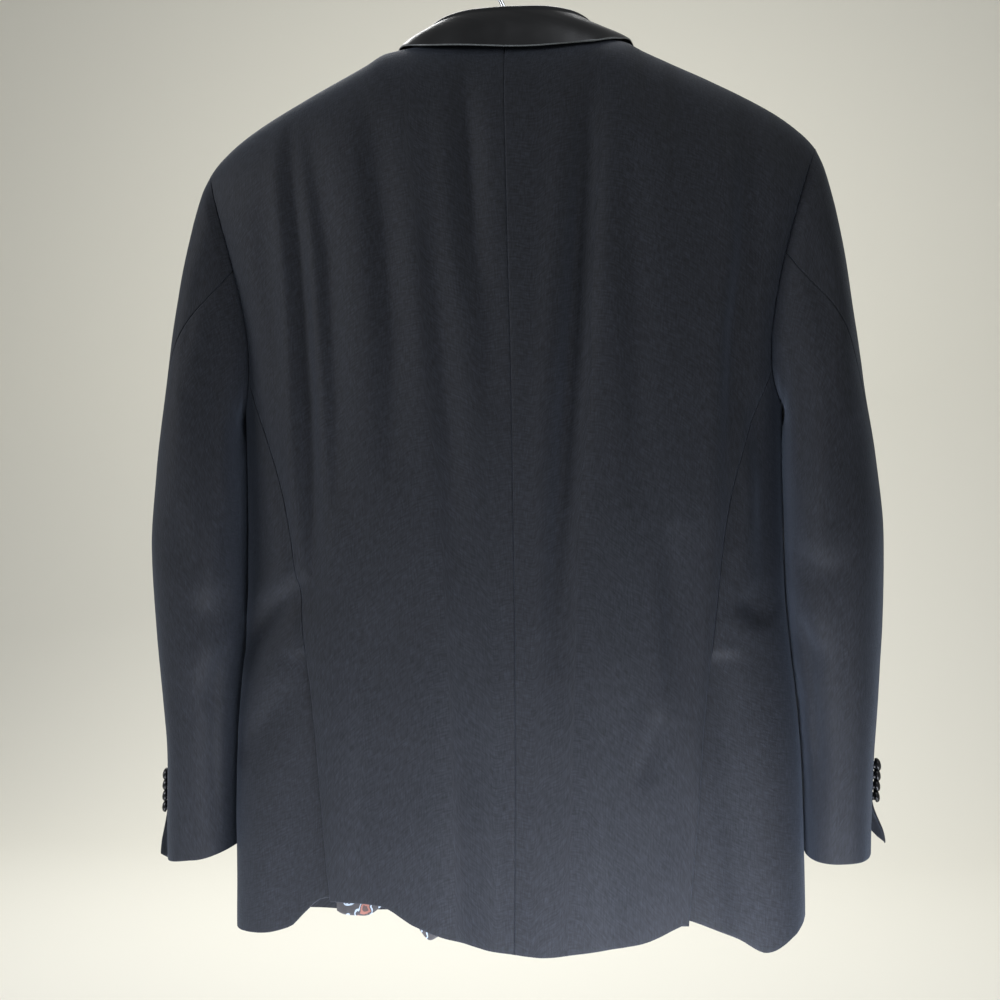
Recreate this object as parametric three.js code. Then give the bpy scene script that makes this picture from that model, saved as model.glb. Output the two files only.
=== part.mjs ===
// A men's single-breasted dinner jacket in black wool with a satin collar and lapels, buttoned,
// hanging from a plain contoured wooden hanger. Every cloth piece is a wall of its real thickness:
// two backs, two side panels, two fronts, two-piece sleeves with open cuff vents, collar, lapels,
// pocket welts, the strip of lining that droops below the back hem, and satin-covered buttons.
// Units are millimetres. +Z is up, +X is the wearer's left, +Y is the back of the jacket.
// The origin is the top of the inside of the hanger's hook, where a rail or a peg holds it.
// "down" in every table is the distance below the origin, and "out" the distance from the centre.
import * as THREE from "three";

// Driving dimensions
const CLOTH = 2.0; // wool with its canvas or lining
const SATIN = 1.6; // faced lapel, welt or jet
const LINING = 0.8;
const SEAM_TRIM = 0.2; // each piece stops this far short of its seam line
const LAID_ON = 0.5; // air under a piece that lies on a panel
const SHOULDER_OUT = 257; // shoulder point, from the centre
const NECK_OUT = 80; // side of the neck hole
const NECK_BACK = 47.5; // back of the neck hole, behind the shoulder line
const ARCH = 105; // height over which the cloth rounds from the shoulder line to upright
const ARCH_POWER = 2.5; // superellipse power of that rounding
const PLAN_POWER = 3; // superellipse power of the body's plan sections
const UNDERARM_DOWN = 408;
const BACK_SCYE_DOWN = 376; // where the armhole meets the back's side seam
const FRONT_SCYE_DOWN = 384; // where it meets the front's side seam
const SLEEVE_POWER = 2.6;
const VENT_TOP_DOWN = 632;
const VENT_UNDERLAP = 20;
const OVERLAP_INSET = 5.6; // how far the right front lies inside the left one at the closure
const BREAK_DOWN = 520; // foot of the lapel's roll line
const FRONT_BUTTON = { down: 545, radius: 10.5, thickness: 4.2 };
const CUFF_BUTTON = { radius: 6.6, thickness: 2.3, count: 4, pitch: 9, topDown: 708, tilt: 17.5 };
const SHANK = 0.6; // a button's back stands this far off the cloth

// Plan sections of the hanging body
const BODY = [
  { down: 60, width: 292, back: 66, front: 61 },
  { down: 190, width: 285, back: 74, front: 70 },
  { down: 230, width: 268, back: 77, front: 73 },
  { down: 270, width: 252, back: 79, front: 75 },
  { down: 310, width: 240, back: 81, front: 76 },
  { down: 345, width: 232, back: 82, front: 77 },
  { down: 376, width: 228, back: 82, front: 77 },
  { down: 410, width: 226, back: 81, front: 76 },
  { down: 450, width: 224, back: 80, front: 75 },
  { down: 560, width: 222.5, back: 77, front: 72 },
  { down: 610, width: 226, back: 76, front: 71 },
  { down: 660, width: 231, back: 75, front: 71 },
  { down: 720, width: 236, back: 74, front: 71 },
  { down: 775, width: 238.5, back: 74, front: 70 },
  { down: 900, width: 243, back: 75, front: 70 },
];

// The shoulder line, from the neck out over the end of the hanger to the sleeve
const RIDGE = [
  { out: 0, down: 92 },
  { out: 60, down: 93 },
  { out: 99, down: 98 },
  { out: 118, down: 108 },
  { out: 172, down: 135 },
  { out: 221, down: 162 },
  { out: 246, down: 181 },
  { out: 257, down: 193 },
  { out: 275, down: 226 },
];

// Outer edge of each back: armhole, then side seam
const BACK_EDGE = [
  { down: 92, out: 257 },
  { down: 193, out: 257 },
  { down: 215, out: 250 },
  { down: 240, out: 242 },
  { down: 272, out: 233 },
  { down: 300, out: 226 },
  { down: 330, out: 220.5 },
  { down: 355, out: 218 },
  { down: 376, out: 218 },
  { down: 394, out: 213 },
  { down: 430, out: 200 },
  { down: 474, out: 186.5 },
  { down: 525, out: 177 },
  { down: 580, out: 170.5 },
  { down: 659, out: 161 },
  { down: 727, out: 155.5 },
  { down: 823, out: 146 },
  { down: 900, out: 140 },
];

// Outer edge of each front: armhole, then the seam to the side panel
const FRONT_EDGE = [
  { down: 92, out: 257 },
  { down: 193, out: 257 },
  { down: 215, out: 246 },
  { down: 240, out: 234 },
  { down: 272, out: 222 },
  { down: 300, out: 214 },
  { down: 330, out: 209 },
  { down: 360, out: 209 },
  { down: 384, out: 213 },
  { down: 430, out: 205 },
  { down: 500, out: 198 },
  { down: 600, out: 196 },
  { down: 700, out: 202 },
  { down: 900, out: 210 },
];

// Inner edge of each front: neck, roll line, buttoned overlap, cut-away quarter
const FRONT_OPENING = [
  { down: 92, out: 80 },
  { down: 118, out: 79 },
  { down: 140, out: 75 },
  { down: 330, out: 28 },
  { down: BREAK_DOWN, out: -19 },
  { down: 545, out: -20 },
  { down: 610, out: -18 },
  { down: 690, out: -11 },
  { down: 750, out: 2 },
  { down: 800, out: 21 },
  { down: 832, out: 42 },
  { down: 850, out: 62 },
  { down: 870, out: 90 },
];

// Hem heights; the back's are signed across the whole back, because it hangs unevenly
const BACK_HEM = [
  { x: -140, down: 823 },
  { x: -107, down: 838 },
  { x: -60, down: 846 },
  { x: -28, down: 850 },
  { x: 0, down: 848 },
  { x: 46, down: 838 },
  { x: 75, down: 829 },
  { x: 105, down: 816 },
  { x: 140, down: 814 },
];
const SIDE_HEM = [
  { across: 0, down: 815 },
  { across: 0.14, down: 829 },
  { across: 0.3, down: 848 },
  { across: 0.45, down: 842 },
  { across: 0.6, down: 838 },
  { across: 1, down: 853 },
];
const FRONT_HEM = [
  { out: 30, down: 842 },
  { out: 62, down: 850 },
  { out: 90, down: 856 },
  { out: 130, down: 857 },
  { out: 200, down: 853 },
];

// Creases that hang in the back and side panels, seen from behind: a soft trough along each line
const BACK_CREASES = [
  { x0: 180, down0: 165, x1: 166, down1: 530, depth: 6.5, width: 11 },
  { x0: 168, down0: 165, x1: 145, down1: 420, depth: 5.0, width: 11 },
  { x0: 119, down0: 150, x1: 98, down1: 470, depth: 4.5, width: 13 },
  { x0: 37, down0: 130, x1: 26, down1: 325, depth: 5.0, width: 12 },
  { x0: 47, down0: 360, x1: 52, down1: 590, depth: 2.8, width: 13 },
  { x0: -59, down0: 135, x1: -50, down1: 400, depth: 5.2, width: 13 },
  { x0: -50, down0: 280, x1: -31, down1: 610, depth: 5.5, width: 13 },
  { x0: -96, down0: 270, x1: -101, down1: 510, depth: 2.2, width: 13 },
  { x0: -188, down0: 160, x1: -172, down1: 520, depth: 6.0, width: 12 },
  { x0: -132, down0: 115, x1: -134, down1: 250, depth: 2.2, width: 12 },
  { x0: -128, down0: 500, x1: -112, down1: 770, depth: 3.4, width: 15 },
  { x0: 24, down0: 600, x1: 30, down1: 880, depth: 3.6, width: 17 },
  { x0: 118, down0: 560, x1: 124, down1: 900, depth: 3.0, width: 20 },
  { x0: -72, down0: 660, x1: -78, down1: 900, depth: 3.2, width: 17 },
  { x0: 160, down0: 560, x1: 214, down1: 640, depth: 7.0, width: 12 },
  { x0: 176, down0: 640, x1: 182, down1: 900, depth: 5.0, width: 16 },
  { x0: -176, down0: 600, x1: -180, down1: 900, depth: 5.0, width: 16 },
  { x0: -196, down0: 410, x1: -208, down1: 560, depth: 5.0, width: 11 },
];

// Creases in the fronts, one table for each side, seen from in front
const FRONT_CREASES = [
  { x0: 150, down0: 330, x1: 120, down1: 560, depth: 3.4, width: 18 },
  { x0: 92, down0: 560, x1: 96, down1: 900, depth: 3.0, width: 18 },
  { x0: 168, down0: 560, x1: 160, down1: 900, depth: 3.6, width: 18 },
  { x0: 16, down0: 548, x1: 92, down1: 600, depth: 2.6, width: 12 },
  { x0: -146, down0: 350, x1: -124, down1: 580, depth: 3.0, width: 18 },
  { x0: -80, down0: 600, x1: -88, down1: 900, depth: 3.2, width: 18 },
  { x0: -150, down0: 590, x1: -160, down1: 900, depth: 3.2, width: 18 },
  { x0: -30, down0: 552, x1: -100, down1: 604, depth: 2.4, width: 12 },
];

// Sleeve sections from the armhole (0) to the cuff (1): the outer and inner ends of each section,
// half its depth from front to back, where its middle lies, and the angles of its two seams
const SLEEVE = [
  { v: 0, outX: 257, outDown: 193, inX: 226, inDown: 408, half: 46, mid: 0, hind: 82, fore: 214 },
  { v: 0.05, outX: 263, outDown: 208, inX: 228, inDown: 412, half: 53, mid: 0, hind: 82, fore: 213 },
  { v: 0.12, outX: 272, outDown: 243, inX: 228, inDown: 417, half: 61, mid: 1, hind: 79, fore: 211 },
  { v: 0.2, outX: 280, outDown: 286, inX: 226.5, inDown: 426, half: 68, mid: 3, hind: 70, fore: 209 },
  { v: 0.3, outX: 287, outDown: 341, inX: 223.5, inDown: 443, half: 73, mid: 5, hind: 54, fore: 207 },
  { v: 0.4, outX: 293.5, outDown: 398, inX: 221.5, inDown: 470, half: 74, mid: 7, hind: 36, fore: 205 },
  { v: 0.5, outX: 301, outDown: 452, inX: 219.5, inDown: 508, half: 72, mid: 8, hind: 26, fore: 205 },
  { v: 0.6, outX: 307, outDown: 515, inX: 219.5, inDown: 556, half: 69, mid: 7, hind: 22, fore: 205 },
  { v: 0.7, outX: 306, outDown: 580, inX: 223, inDown: 607, half: 66, mid: 3, hind: 20, fore: 205 },
  { v: 0.8, outX: 303, outDown: 641, inX: 228, inDown: 660, half: 63, mid: -2, hind: 19, fore: 205 },
  { v: 0.9, outX: 300, outDown: 702, inX: 233.5, inDown: 714, half: 61, mid: -7, hind: 18, fore: 205 },
  { v: 1, outX: 300, outDown: 777, inX: 238, inDown: 781, half: 59, mid: -12, hind: 18, fore: 205 },
];

// Creases in each sleeve, as angle round it in degrees and distance along it
const SLEEVE_CREASES = {
  left: [
    { a0: 60, v0: 0.04, a1: 78, v1: 0.34, depth: 3.0, width: 13 },
    { a0: 100, v0: 0.1, a1: 118, v1: 0.5, depth: 4.0, width: 13 },
    { a0: 80, v0: 0.66, a1: 172, v1: 0.585, depth: 7.0, width: 12 },
    { a0: 100, v0: 0.78, a1: 168, v1: 0.68, depth: 5.5, width: 13 },
    { a0: 128, v0: 0.7, a1: 122, v1: 0.99, depth: 3.4, width: 12 },
    { a0: 270, v0: 0.52, a1: 196, v1: 0.6, depth: 6.0, width: 13 },
    { a0: 290, v0: 0.62, a1: 200, v1: 0.68, depth: 5.0, width: 13 },
    { a0: 320, v0: 0.1, a1: 296, v1: 0.5, depth: 3.0, width: 16 },
  ],
  right: [
    { a0: 62, v0: 0.05, a1: 80, v1: 0.3, depth: 2.6, width: 13 },
    { a0: 104, v0: 0.12, a1: 120, v1: 0.46, depth: 3.8, width: 13 },
    { a0: 74, v0: 0.62, a1: 168, v1: 0.54, depth: 7.0, width: 11 },
    { a0: 116, v0: 0.74, a1: 172, v1: 0.64, depth: 5.0, width: 13 },
    { a0: 134, v0: 0.66, a1: 126, v1: 0.96, depth: 4.0, width: 12 },
    { a0: 262, v0: 0.5, a1: 194, v1: 0.57, depth: 6.0, width: 13 },
    { a0: 284, v0: 0.6, a1: 198, v1: 0.66, depth: 5.0, width: 13 },
    { a0: 322, v0: 0.12, a1: 300, v1: 0.48, depth: 3.0, width: 16 },
  ],
};
const CUFF_FLARE = { left: 6, right: 11 }; // how far the vent's corner stands off the sleeve
const CUFF_DROP = { left: 6, right: -2 }; // the left sleeve hangs a little lower
const CUFF_TURN = { left: 16, right: 0 }; // degrees that the lower sleeve is turned to the back
const BUTTON_TURN = { left: 22, right: 7 }; // where the cuff buttons sit round the sleeve
const SLEEVE_AIR = 1.5; // between the body and a sleeve that rests against it

// The collar from the centre back (0) to its front end (1): its neck seam, roll line and free edge
const COLLAR_SEAM = [
  { u: 0, x: 0, y: 44, down: 106.2 },
  { u: 0.16, x: 27, y: 41.4, down: 104 },
  { u: 0.32, x: 52, y: 33.4, down: 100 },
  { u: 0.46, x: 70, y: 21.3, down: 96 },
  { u: 0.58, x: 78.5, y: 8, down: 94.2 },
  { u: 0.7, x: 80.5, y: -8, down: 94.6 },
  { u: 0.8, x: 80.5, y: -26, down: 98 },
  { u: 0.9, x: 79.5, y: -44, down: 108 },
  { u: 1, x: 77.5, y: -59, down: 128 },
];
const COLLAR_ROLL = [
  { u: 0, x: 0, y: 41, down: 73 },
  { u: 0.16, x: 27, y: 39, down: 73.2 },
  { u: 0.32, x: 51, y: 31, down: 75 },
  { u: 0.46, x: 65.5, y: 19, down: 79.5 },
  { u: 0.58, x: 71.5, y: 4, down: 84.5 },
  { u: 0.7, x: 73, y: -14, down: 88.5 },
  { u: 0.8, x: 73, y: -34, down: 96 },
  { u: 0.9, x: 74.5, y: -52, down: 112 },
  { u: 1, x: 75, y: -66.5, down: 138 },
];
const COLLAR_EDGE = [
  { u: 0, x: 0, y: 55, down: 114.5 },
  { u: 0.16, x: 31, y: 53.5, down: 113.5 },
  { u: 0.32, x: 63, y: 47.5, down: 110.5 },
  { u: 0.46, x: 89, y: 32, down: 104 },
  { u: 0.58, x: 103, y: 9, down: 97 },
  { u: 0.7, x: 109, y: -16, down: 99.5 },
  { u: 0.8, x: 114, y: -36, down: 108 },
  { u: 0.9, x: 122, y: -55, down: 125 },
  { u: 1, x: 133, y: -64.5, down: 149 },
];
const GORGE_END = { x: 105.5, y: -69.5, down: 163 }; // inner corner of the notch, on the collar
const COLLAR_CLOTH = 1.8;
const COLLAR_FOLD = 3.2; // half the width of the fold along the roll line
const COLLAR_LEAN = -4.5; // the collar leans to the wearer's right
const COLLAR_ROUND = 3; // how far the fall bows outwards

// Free edge of the lapel, from its point (0) to the break (1)
const LAPEL = [
  { t: 0, rollX: 75, rollDown: 143, edgeX: 149, edgeDown: 196 },
  { t: 0.12, rollX: 64, rollDown: 186, edgeX: 141, edgeDown: 236 },
  { t: 0.3, rollX: 47, rollDown: 254, edgeX: 124, edgeDown: 299 },
  { t: 0.5, rollX: 28, rollDown: 330, edgeX: 97, edgeDown: 368 },
  { t: 0.7, rollX: 9, rollDown: 406, edgeX: 63, edgeDown: 432 },
  { t: 0.86, rollX: -6, rollDown: 467, edgeX: 29, edgeDown: 481 },
  { t: 1, rollX: -16.5, rollDown: 510, edgeX: -8, edgeDown: 513 },
];

// Half of the hanger: its section at distances from the hook
const HANGER = [
  { out: 0, depth: 9, height: 26 },
  { out: 40, depth: 10, height: 24 },
  { out: 100, depth: 13, height: 20 },
  { out: 160, depth: 18, height: 17 },
  { out: 196, depth: 21, height: 14 },
  { out: 205, depth: 16, height: 8 },
];
const HANGER_AIR = 0.6; // between the wood and the inside of the shoulders
const HOOK = { wire: 2, bow: 22, neckDown: 55 };

// Grid resolutions of the solids, in quads
const mix = (a, b, t) => a + (b - a) * t;
const steps = (count, lo = 0, hi = 1) =>
  Array.from({ length: count + 1 }, (_, i) => mix(lo, hi, i / count));
const GRID = {
  arch: 6,
  chest: 4,
  skirt: 16,
  back: 16,
  front: 11,
  side: [0, 0.05, 0.1, 0.2, 0.34, 0.5, 0.66, 0.83, 1],
  sleeveTop: steps(9),
  sleeveUnder: [0, 0.13, 0.26, 0.39, 0.51, 0.62, 0.71, 0.79, 0.86, 0.93, 1],
  sleeveRows: 20,
  collar: { along: 32, stand: 2, fall: 4 },
  lapel: { across: 4, down: 14 },
};

const WOOL = { color: 0x1b1e25, roughness: 0.85, metalness: 0 };
const MATERIALS = {
  wool: new THREE.MeshStandardMaterial(WOOL),
  satin: new THREE.MeshStandardMaterial({ color: 0x1d1f21, roughness: 0.35, metalness: 0 }),
  lining: new THREE.MeshStandardMaterial({ color: 0x5b3f3c, roughness: 0.5, metalness: 0 }),
  wood: new THREE.MeshStandardMaterial({ color: 0x8a5a34, roughness: 0.5, metalness: 0 }),
  steel: new THREE.MeshStandardMaterial({ color: 0xc8cacc, roughness: 0.25, metalness: 1 }),
};

// Small mathematics shared by every piece
const clamp = (x, lo, hi) => Math.min(hi, Math.max(lo, x));
const radians = (degrees) => (degrees * Math.PI) / 180;
const power = (x, p) => Math.sign(x) * Math.abs(x) ** p;
function smooth(lo, hi, x) {
  const t = clamp((x - lo) / (hi - lo), 0, 1);
  return t * t * (3 - 2 * t);
}

// A smooth curve without overshoot through a table: the value of one column at a place in another.
function curve(rows, from, to) {
  const x = rows.map((row) => row[from]);
  const y = rows.map((row) => row[to]);
  const last = rows.length - 1;
  const secant = x.slice(1).map((value, i) => (y[i + 1] - y[i]) / (value - x[i]));
  const slope = x.map((_, i) => {
    if (i === 0) return secant[0];
    if (i === last) return secant[last - 1];
    const [a, b] = [secant[i - 1], secant[i]];
    return a * b <= 0 ? 0 : (2 * a * b) / (a + b);
  });
  return (at) => {
    const place = clamp(at, x[0], x[last]);
    let i = 0;
    while (i < last - 1 && place > x[i + 1]) i += 1;
    const span = x[i + 1] - x[i];
    const t = (place - x[i]) / span;
    const rise = y[i + 1] - y[i];
    const bend = (slope[i] * (1 - t) - slope[i + 1] * t) * span + rise * (2 * t - 1);
    return y[i] + rise * t + t * (1 - t) * bend;
  };
}

const bodyWidth = curve(BODY, "down", "width");
const bodyBack = curve(BODY, "down", "back");
const bodyFront = curve(BODY, "down", "front");
const ridgeDown = curve(RIDGE, "out", "down");
const backEdge = curve(BACK_EDGE, "down", "out");
const frontEdge = curve(FRONT_EDGE, "down", "out");
const frontOpening = curve(FRONT_OPENING, "down", "out");
const backHem = curve(BACK_HEM, "x", "down");
const sideHem = curve(SIDE_HEM, "across", "down");
const frontHem = curve(FRONT_HEM, "out", "down");

// Height of the soft troughs of a table at a place (a, b), both in millimetres.
function troughs(lines, a, b) {
  return lines.reduce((sum, line) => {
    const [da, db] = [line.a1 - line.a0, line.b1 - line.b0];
    const along = clamp(((a - line.a0) * da + (b - line.b0) * db) / (da * da + db * db), 0, 1);
    const away = Math.hypot(a - mix(line.a0, line.a1, along), b - mix(line.b0, line.b1, along));
    return sum + line.depth * Math.exp(-((away / line.width) ** 2)) * Math.sin(Math.PI * along) ** 0.7;
  }, 0);
}
const bodyLines = (table) =>
  table.map((c) => ({ a0: c.x0, b0: c.down0, a1: c.x1, b1: c.down1, depth: c.depth, width: c.width }));
const BACK_LINES = bodyLines(BACK_CREASES);
const FRONT_LINES = bodyLines(FRONT_CREASES);

// How far the cloth stands from the shoulder line at a distance below it, from 0 to 1.
function archShare(below) {
  const upright = clamp(1 - below / ARCH, 0, 1) ** (ARCH_POWER / 2);
  return (1 - upright * upright) ** (1 / ARCH_POWER);
}
// The distance below the shoulder line at a share of the quarter turn, from 0 to 1.
const archBelow = (turn) => ARCH * (1 - Math.cos((Math.PI / 2) * turn) ** (2 / ARCH_POWER));

// The body's outer surface at a signed x: face is 1 for the back and -1 for the front.
// bulge moves the cloth along the outward normal of the plan section.
function bodyPoint(face, x, down, bulge = 0) {
  const width = bodyWidth(down);
  const depth = face > 0 ? bodyBack(down) : bodyFront(down);
  const share = Math.min(Math.abs(x) / width, 0.9999);
  const y = depth * (1 - share ** PLAN_POWER) ** (1 / PLAN_POWER);
  return dress(face, Math.sign(x) * share * width, y, down, bulge);
}
// The same surface at an angle round the side: 0 at the centre back, 90 at the side, 180 in front.
function sidePoint(side, degrees, down, bulge = 0) {
  const angle = radians(degrees);
  const face = degrees <= 90 ? 1 : -1;
  const depth = face > 0 ? bodyBack(down) : bodyFront(down);
  const x = side * bodyWidth(down) * Math.sin(angle) ** (2 / PLAN_POWER);
  return dress(face, x, depth * Math.abs(Math.cos(angle)) ** (2 / PLAN_POWER), down, bulge);
}
function dress(face, x, y, down, bulge) {
  const width = bodyWidth(down);
  const depth = face > 0 ? bodyBack(down) : bodyFront(down);
  const nx = power(x / width, PLAN_POWER - 1) / width;
  const ny = (y / depth) ** (PLAN_POWER - 1) / depth;
  const length = Math.hypot(nx, ny) || 1;
  const lines = face > 0 ? BACK_LINES : FRONT_LINES;
  const shift = bulge - troughs(lines, x, down) * (ny / length);
  const arch = archShare(down - ridgeDown(Math.abs(x)));
  return new THREE.Vector3(x + (shift * nx) / length, face * (y + (shift * ny) / length) * arch, -down);
}
// Moves a point straight off the body until it's at least a given distance from its surface.
function clearOfBody(p, distance) {
  const level = (x, y, z) => {
    const down = -z;
    const depth = y > 0 ? bodyBack(down) : bodyFront(down);
    const plan = (1 - Math.min(Math.abs(x) / bodyWidth(down), 1) ** PLAN_POWER) ** (1 / PLAN_POWER);
    const above = Math.max(1 - (down - ridgeDown(Math.abs(x))) / ARCH, 0);
    return ((Math.abs(y) / (depth * plan)) ** ARCH_POWER + above ** ARCH_POWER) ** (1 / ARCH_POWER);
  };
  for (let pass = 0; pass < 4; pass += 1) {
    const here = level(p.x, p.y, p.z);
    const slope = new THREE.Vector3(
      level(p.x + 0.1, p.y, p.z) - here,
      level(p.x, p.y + 0.1, p.z) - here,
      level(p.x, p.y, p.z + 0.1) - here,
    ).multiplyScalar(10);
    const short = distance - (here - 1) / slope.length();
    if (short > 0) p.addScaledVector(slope.normalize(), short);
  }
  return p;
}
// The angle round the side at which the body is a given distance out.
const angleAt = (out, down) =>
  (Math.asin(Math.min(out / bodyWidth(down), 0.9999) ** (PLAN_POWER / 2)) * 180) / Math.PI;

// A place on one front or back panel: s runs across it and t from its top edge to its hem.
// edges gives its inner and outer edges, its hem, and the level at which its side seam starts.
const SHOULDER_T = 0.25; // the cloth is upright here
const SCYE_T = 0.37; // and the side seam starts here
function panelPlace(edges, s, t) {
  const turn = t < 0 ? t : Math.min(t / SHOULDER_T, 1);
  const first = edges.start(s);
  const below = archBelow(mix(first, 1, Math.abs(turn)));
  let x = mix(edges.inner(200), edges.outer(200), s);
  let down = 0;
  for (let pass = 0; pass < 8; pass += 1) {
    down = ridgeDown(Math.abs(x)) + below;
    x = mix(edges.inner(down), edges.outer(down), s);
  }
  if (t <= SHOULDER_T) return { x, down };
  if (t <= SCYE_T) {
    down = mix(down, edges.level, (t - SHOULDER_T) / (SCYE_T - SHOULDER_T));
    return { x: mix(edges.inner(down), edges.outer(down), s), down };
  }
  let foot = 840;
  for (let pass = 0; pass < 12; pass += 1) {
    foot = edges.hem(mix(edges.inner(foot), edges.outer(foot), s));
  }
  down = mix(edges.level, foot, (t - SCYE_T) / (1 - SCYE_T));
  return { x: mix(edges.inner(down), edges.outer(down), s), down };
}

// A wall of cloth: point(s, t) is its outer surface, ss and ts the grid, thickness its depth inwards.
// facing is 1 where s, then t, turn anticlockwise seen from outside, and -1 where they don't.
// Each side of the grid stops short of its seam line by SEAM_TRIM.
function wall(name, facing, point, ss, ts, thickness, material, trims = [1, 1, 1, 1]) {
  const step = 1e-3;
  const rows = ts.map((t) => ss.map((s) => point(s, t)));
  const normals = ts.map((t) =>
    ss.map((s) => {
      const across = point(s + step, t).sub(point(s - step, t));
      const along = point(s, t + step).sub(point(s, t - step));
      return across.cross(along).normalize().multiplyScalar(facing);
    }),
  );
  const outer = trimmed(rows, trims);
  const inner = outer.map((row, j) =>
    row.map((p, i) => p.clone().addScaledVector(normals[j][i], -thickness)),
  );
  return new Piece(name, closedSheet(outer, inner), material);
}
function trimmed(rows, trims) {
  const [m, n] = [rows.length - 1, rows[0].length - 1];
  const out = rows.map((row) => row.map((p) => p.clone()));
  const pull = (j, i, toJ, toI, share) => {
    const way = rows[toJ][toI].clone().sub(rows[j][i]);
    out[j][i].addScaledVector(way.normalize(), SEAM_TRIM * share);
  };
  for (let j = 0; j <= m; j += 1) {
    pull(j, 0, j, 1, trims[0]);
    pull(j, n, j, n - 1, trims[1]);
  }
  for (let i = 0; i <= n; i += 1) {
    pull(0, i, 1, i, trims[2]);
    pull(m, i, m - 1, i, trims[3]);
  }
  return out;
}
// Joins an outer and an inner grid into one closed body with its faces pointing out.
function closedSheet(outer, inner) {
  const [m, n] = [outer.length, outer[0].length];
  const corners = [...outer.flat(), ...inner.flat()];
  const at = (layer, j, i) => layer * m * n + j * n + i;
  const faces = [];
  const quad = (a, b, c, d) => faces.push(a, b, c, a, c, d);
  for (let j = 0; j < m - 1; j += 1) {
    for (let i = 0; i < n - 1; i += 1) {
      quad(at(0, j, i), at(0, j, i + 1), at(0, j + 1, i + 1), at(0, j + 1, i));
      quad(at(1, j, i), at(1, j + 1, i), at(1, j + 1, i + 1), at(1, j, i + 1));
    }
  }
  for (let i = 0; i < n - 1; i += 1) {
    quad(at(0, 0, i), at(1, 0, i), at(1, 0, i + 1), at(0, 0, i + 1));
    quad(at(0, m - 1, i + 1), at(1, m - 1, i + 1), at(1, m - 1, i), at(0, m - 1, i));
  }
  for (let j = 0; j < m - 1; j += 1) {
    quad(at(0, j + 1, 0), at(1, j + 1, 0), at(1, j, 0), at(0, j, 0));
    quad(at(0, j, n - 1), at(1, j, n - 1), at(1, j + 1, n - 1), at(0, j + 1, n - 1));
  }
  return geometryFrom(corners, faces);
}
function geometryFrom(corners, faces) {
  const volume = faces.reduce((sum, _, k) => {
    if (k % 3) return sum;
    const [a, b, c] = [corners[faces[k]], corners[faces[k + 1]], corners[faces[k + 2]]];
    return sum + a.dot(b.clone().cross(c));
  }, 0);
  const index = volume > 0 ? faces : faces.slice().reverse();
  const geometry = new THREE.BufferGeometry();
  const places = corners.flatMap((p) => [p.x, p.y, p.z]);
  geometry.setAttribute("position", new THREE.Float32BufferAttribute(places, 3));
  geometry.setIndex(index);
  geometry.computeVertexNormals();
  return geometry;
}
class Piece extends THREE.Mesh {
  constructor(name, geometry, material) {
    super(geometry, material);
    this.name = name;
  }
}
const panelSteps = () => [
  ...steps(GRID.arch, 0, SHOULDER_T),
  ...steps(GRID.chest, SHOULDER_T, SCYE_T).slice(1),
  ...steps(GRID.skirt, SCYE_T, 1).slice(1),
];
const SIDES = { left: 1, right: -1 };

// Backs: from the centre-back seam to the armhole and side seam
const backEdges = (side) => ({
  inner: () => 0,
  outer: backEdge,
  hem: (out) => backHem(side * out),
  level: BACK_SCYE_DOWN,
  start: (s) => {
    const out = Math.abs(s) * SHOULDER_OUT;
    if (out >= NECK_OUT) return 0;
    const standsBack = NECK_BACK * Math.sqrt(1 - (out / NECK_OUT) ** 2);
    const share = Math.min(standsBack / bodyPoint(1, out, 200).y, 1);
    return Math.asin(share ** (ARCH_POWER / 2)) / (Math.PI / 2);
  },
});
function back(label) {
  const side = SIDES[label];
  const edges = backEdges(side);
  const point = (s, t) => {
    const place = panelPlace(edges, s, t);
    const p = bodyPoint(1, side * place.x, place.down);
    if (t < 0 && edges.start(s) === 0) p.y = -p.y;
    return p;
  };
  return wall(`back_${label}`, side, point, steps(GRID.back), panelSteps(), CLOTH, MATERIALS.wool);
}

// Side panels: from the back's side seam round to the front, with an underlap below the vent's top
function sidePlace(across, t) {
  const topDown = mix(BACK_SCYE_DOWN, FRONT_SCYE_DOWN, across);
  const hollow = UNDERARM_DOWN - (BACK_SCYE_DOWN + FRONT_SCYE_DOWN) / 2;
  const top = topDown + hollow * Math.sin(Math.PI * clamp(across, 0, 1)) ** 0.75;
  return mix(top, sideHem(across), t);
}
function side(label) {
  const sign = SIDES[label];
  const point = (s, t) => {
    const down = sidePlace(s, t);
    const seam = backEdge(down);
    const laps = smooth(VENT_TOP_DOWN - 6, VENT_TOP_DOWN + 16, down);
    const sinks = smooth(VENT_TOP_DOWN - 75, VENT_TOP_DOWN - 30, down);
    const from = angleAt(seam - VENT_UNDERLAP * laps, down);
    const to = 180 - angleAt(frontEdge(down), down);
    const degrees = mix(from, to, s);
    const flat = sidePoint(sign, degrees, down);
    const under = degrees < 90 ? 1 - smooth(seam + 8, seam + 30, Math.abs(flat.x)) : 0;
    return sidePoint(sign, degrees, down, -(CLOTH + 1) * sinks * under);
  };
  return wall(`side_${label}`, sign, point, GRID.side, steps(GRID.skirt), CLOTH, MATERIALS.wool);
}

// Fronts: from the roll line and front edge to the armhole and side panel; the left laps the right
const frontEdges = {
  inner: frontOpening,
  outer: frontEdge,
  hem: frontHem,
  level: FRONT_SCYE_DOWN,
  start: () => 0,
};
function frontInset(label, x, down) {
  if (label === "left") return 0;
  return OVERLAP_INSET * smooth(360, 440, down) * (1 - smooth(24, 80, x));
}
function front(label) {
  const sign = SIDES[label];
  const point = (s, t) => {
    const { x, down } = panelPlace(frontEdges, s, t);
    const p = bodyPoint(-1, sign * x, down, -frontInset(label, x, down));
    if (t < 0) p.y = -p.y;
    return p;
  };
  return wall(`front_${label}`, -sign, point, steps(GRID.front), panelSteps(), CLOTH, MATERIALS.wool);
}
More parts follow.
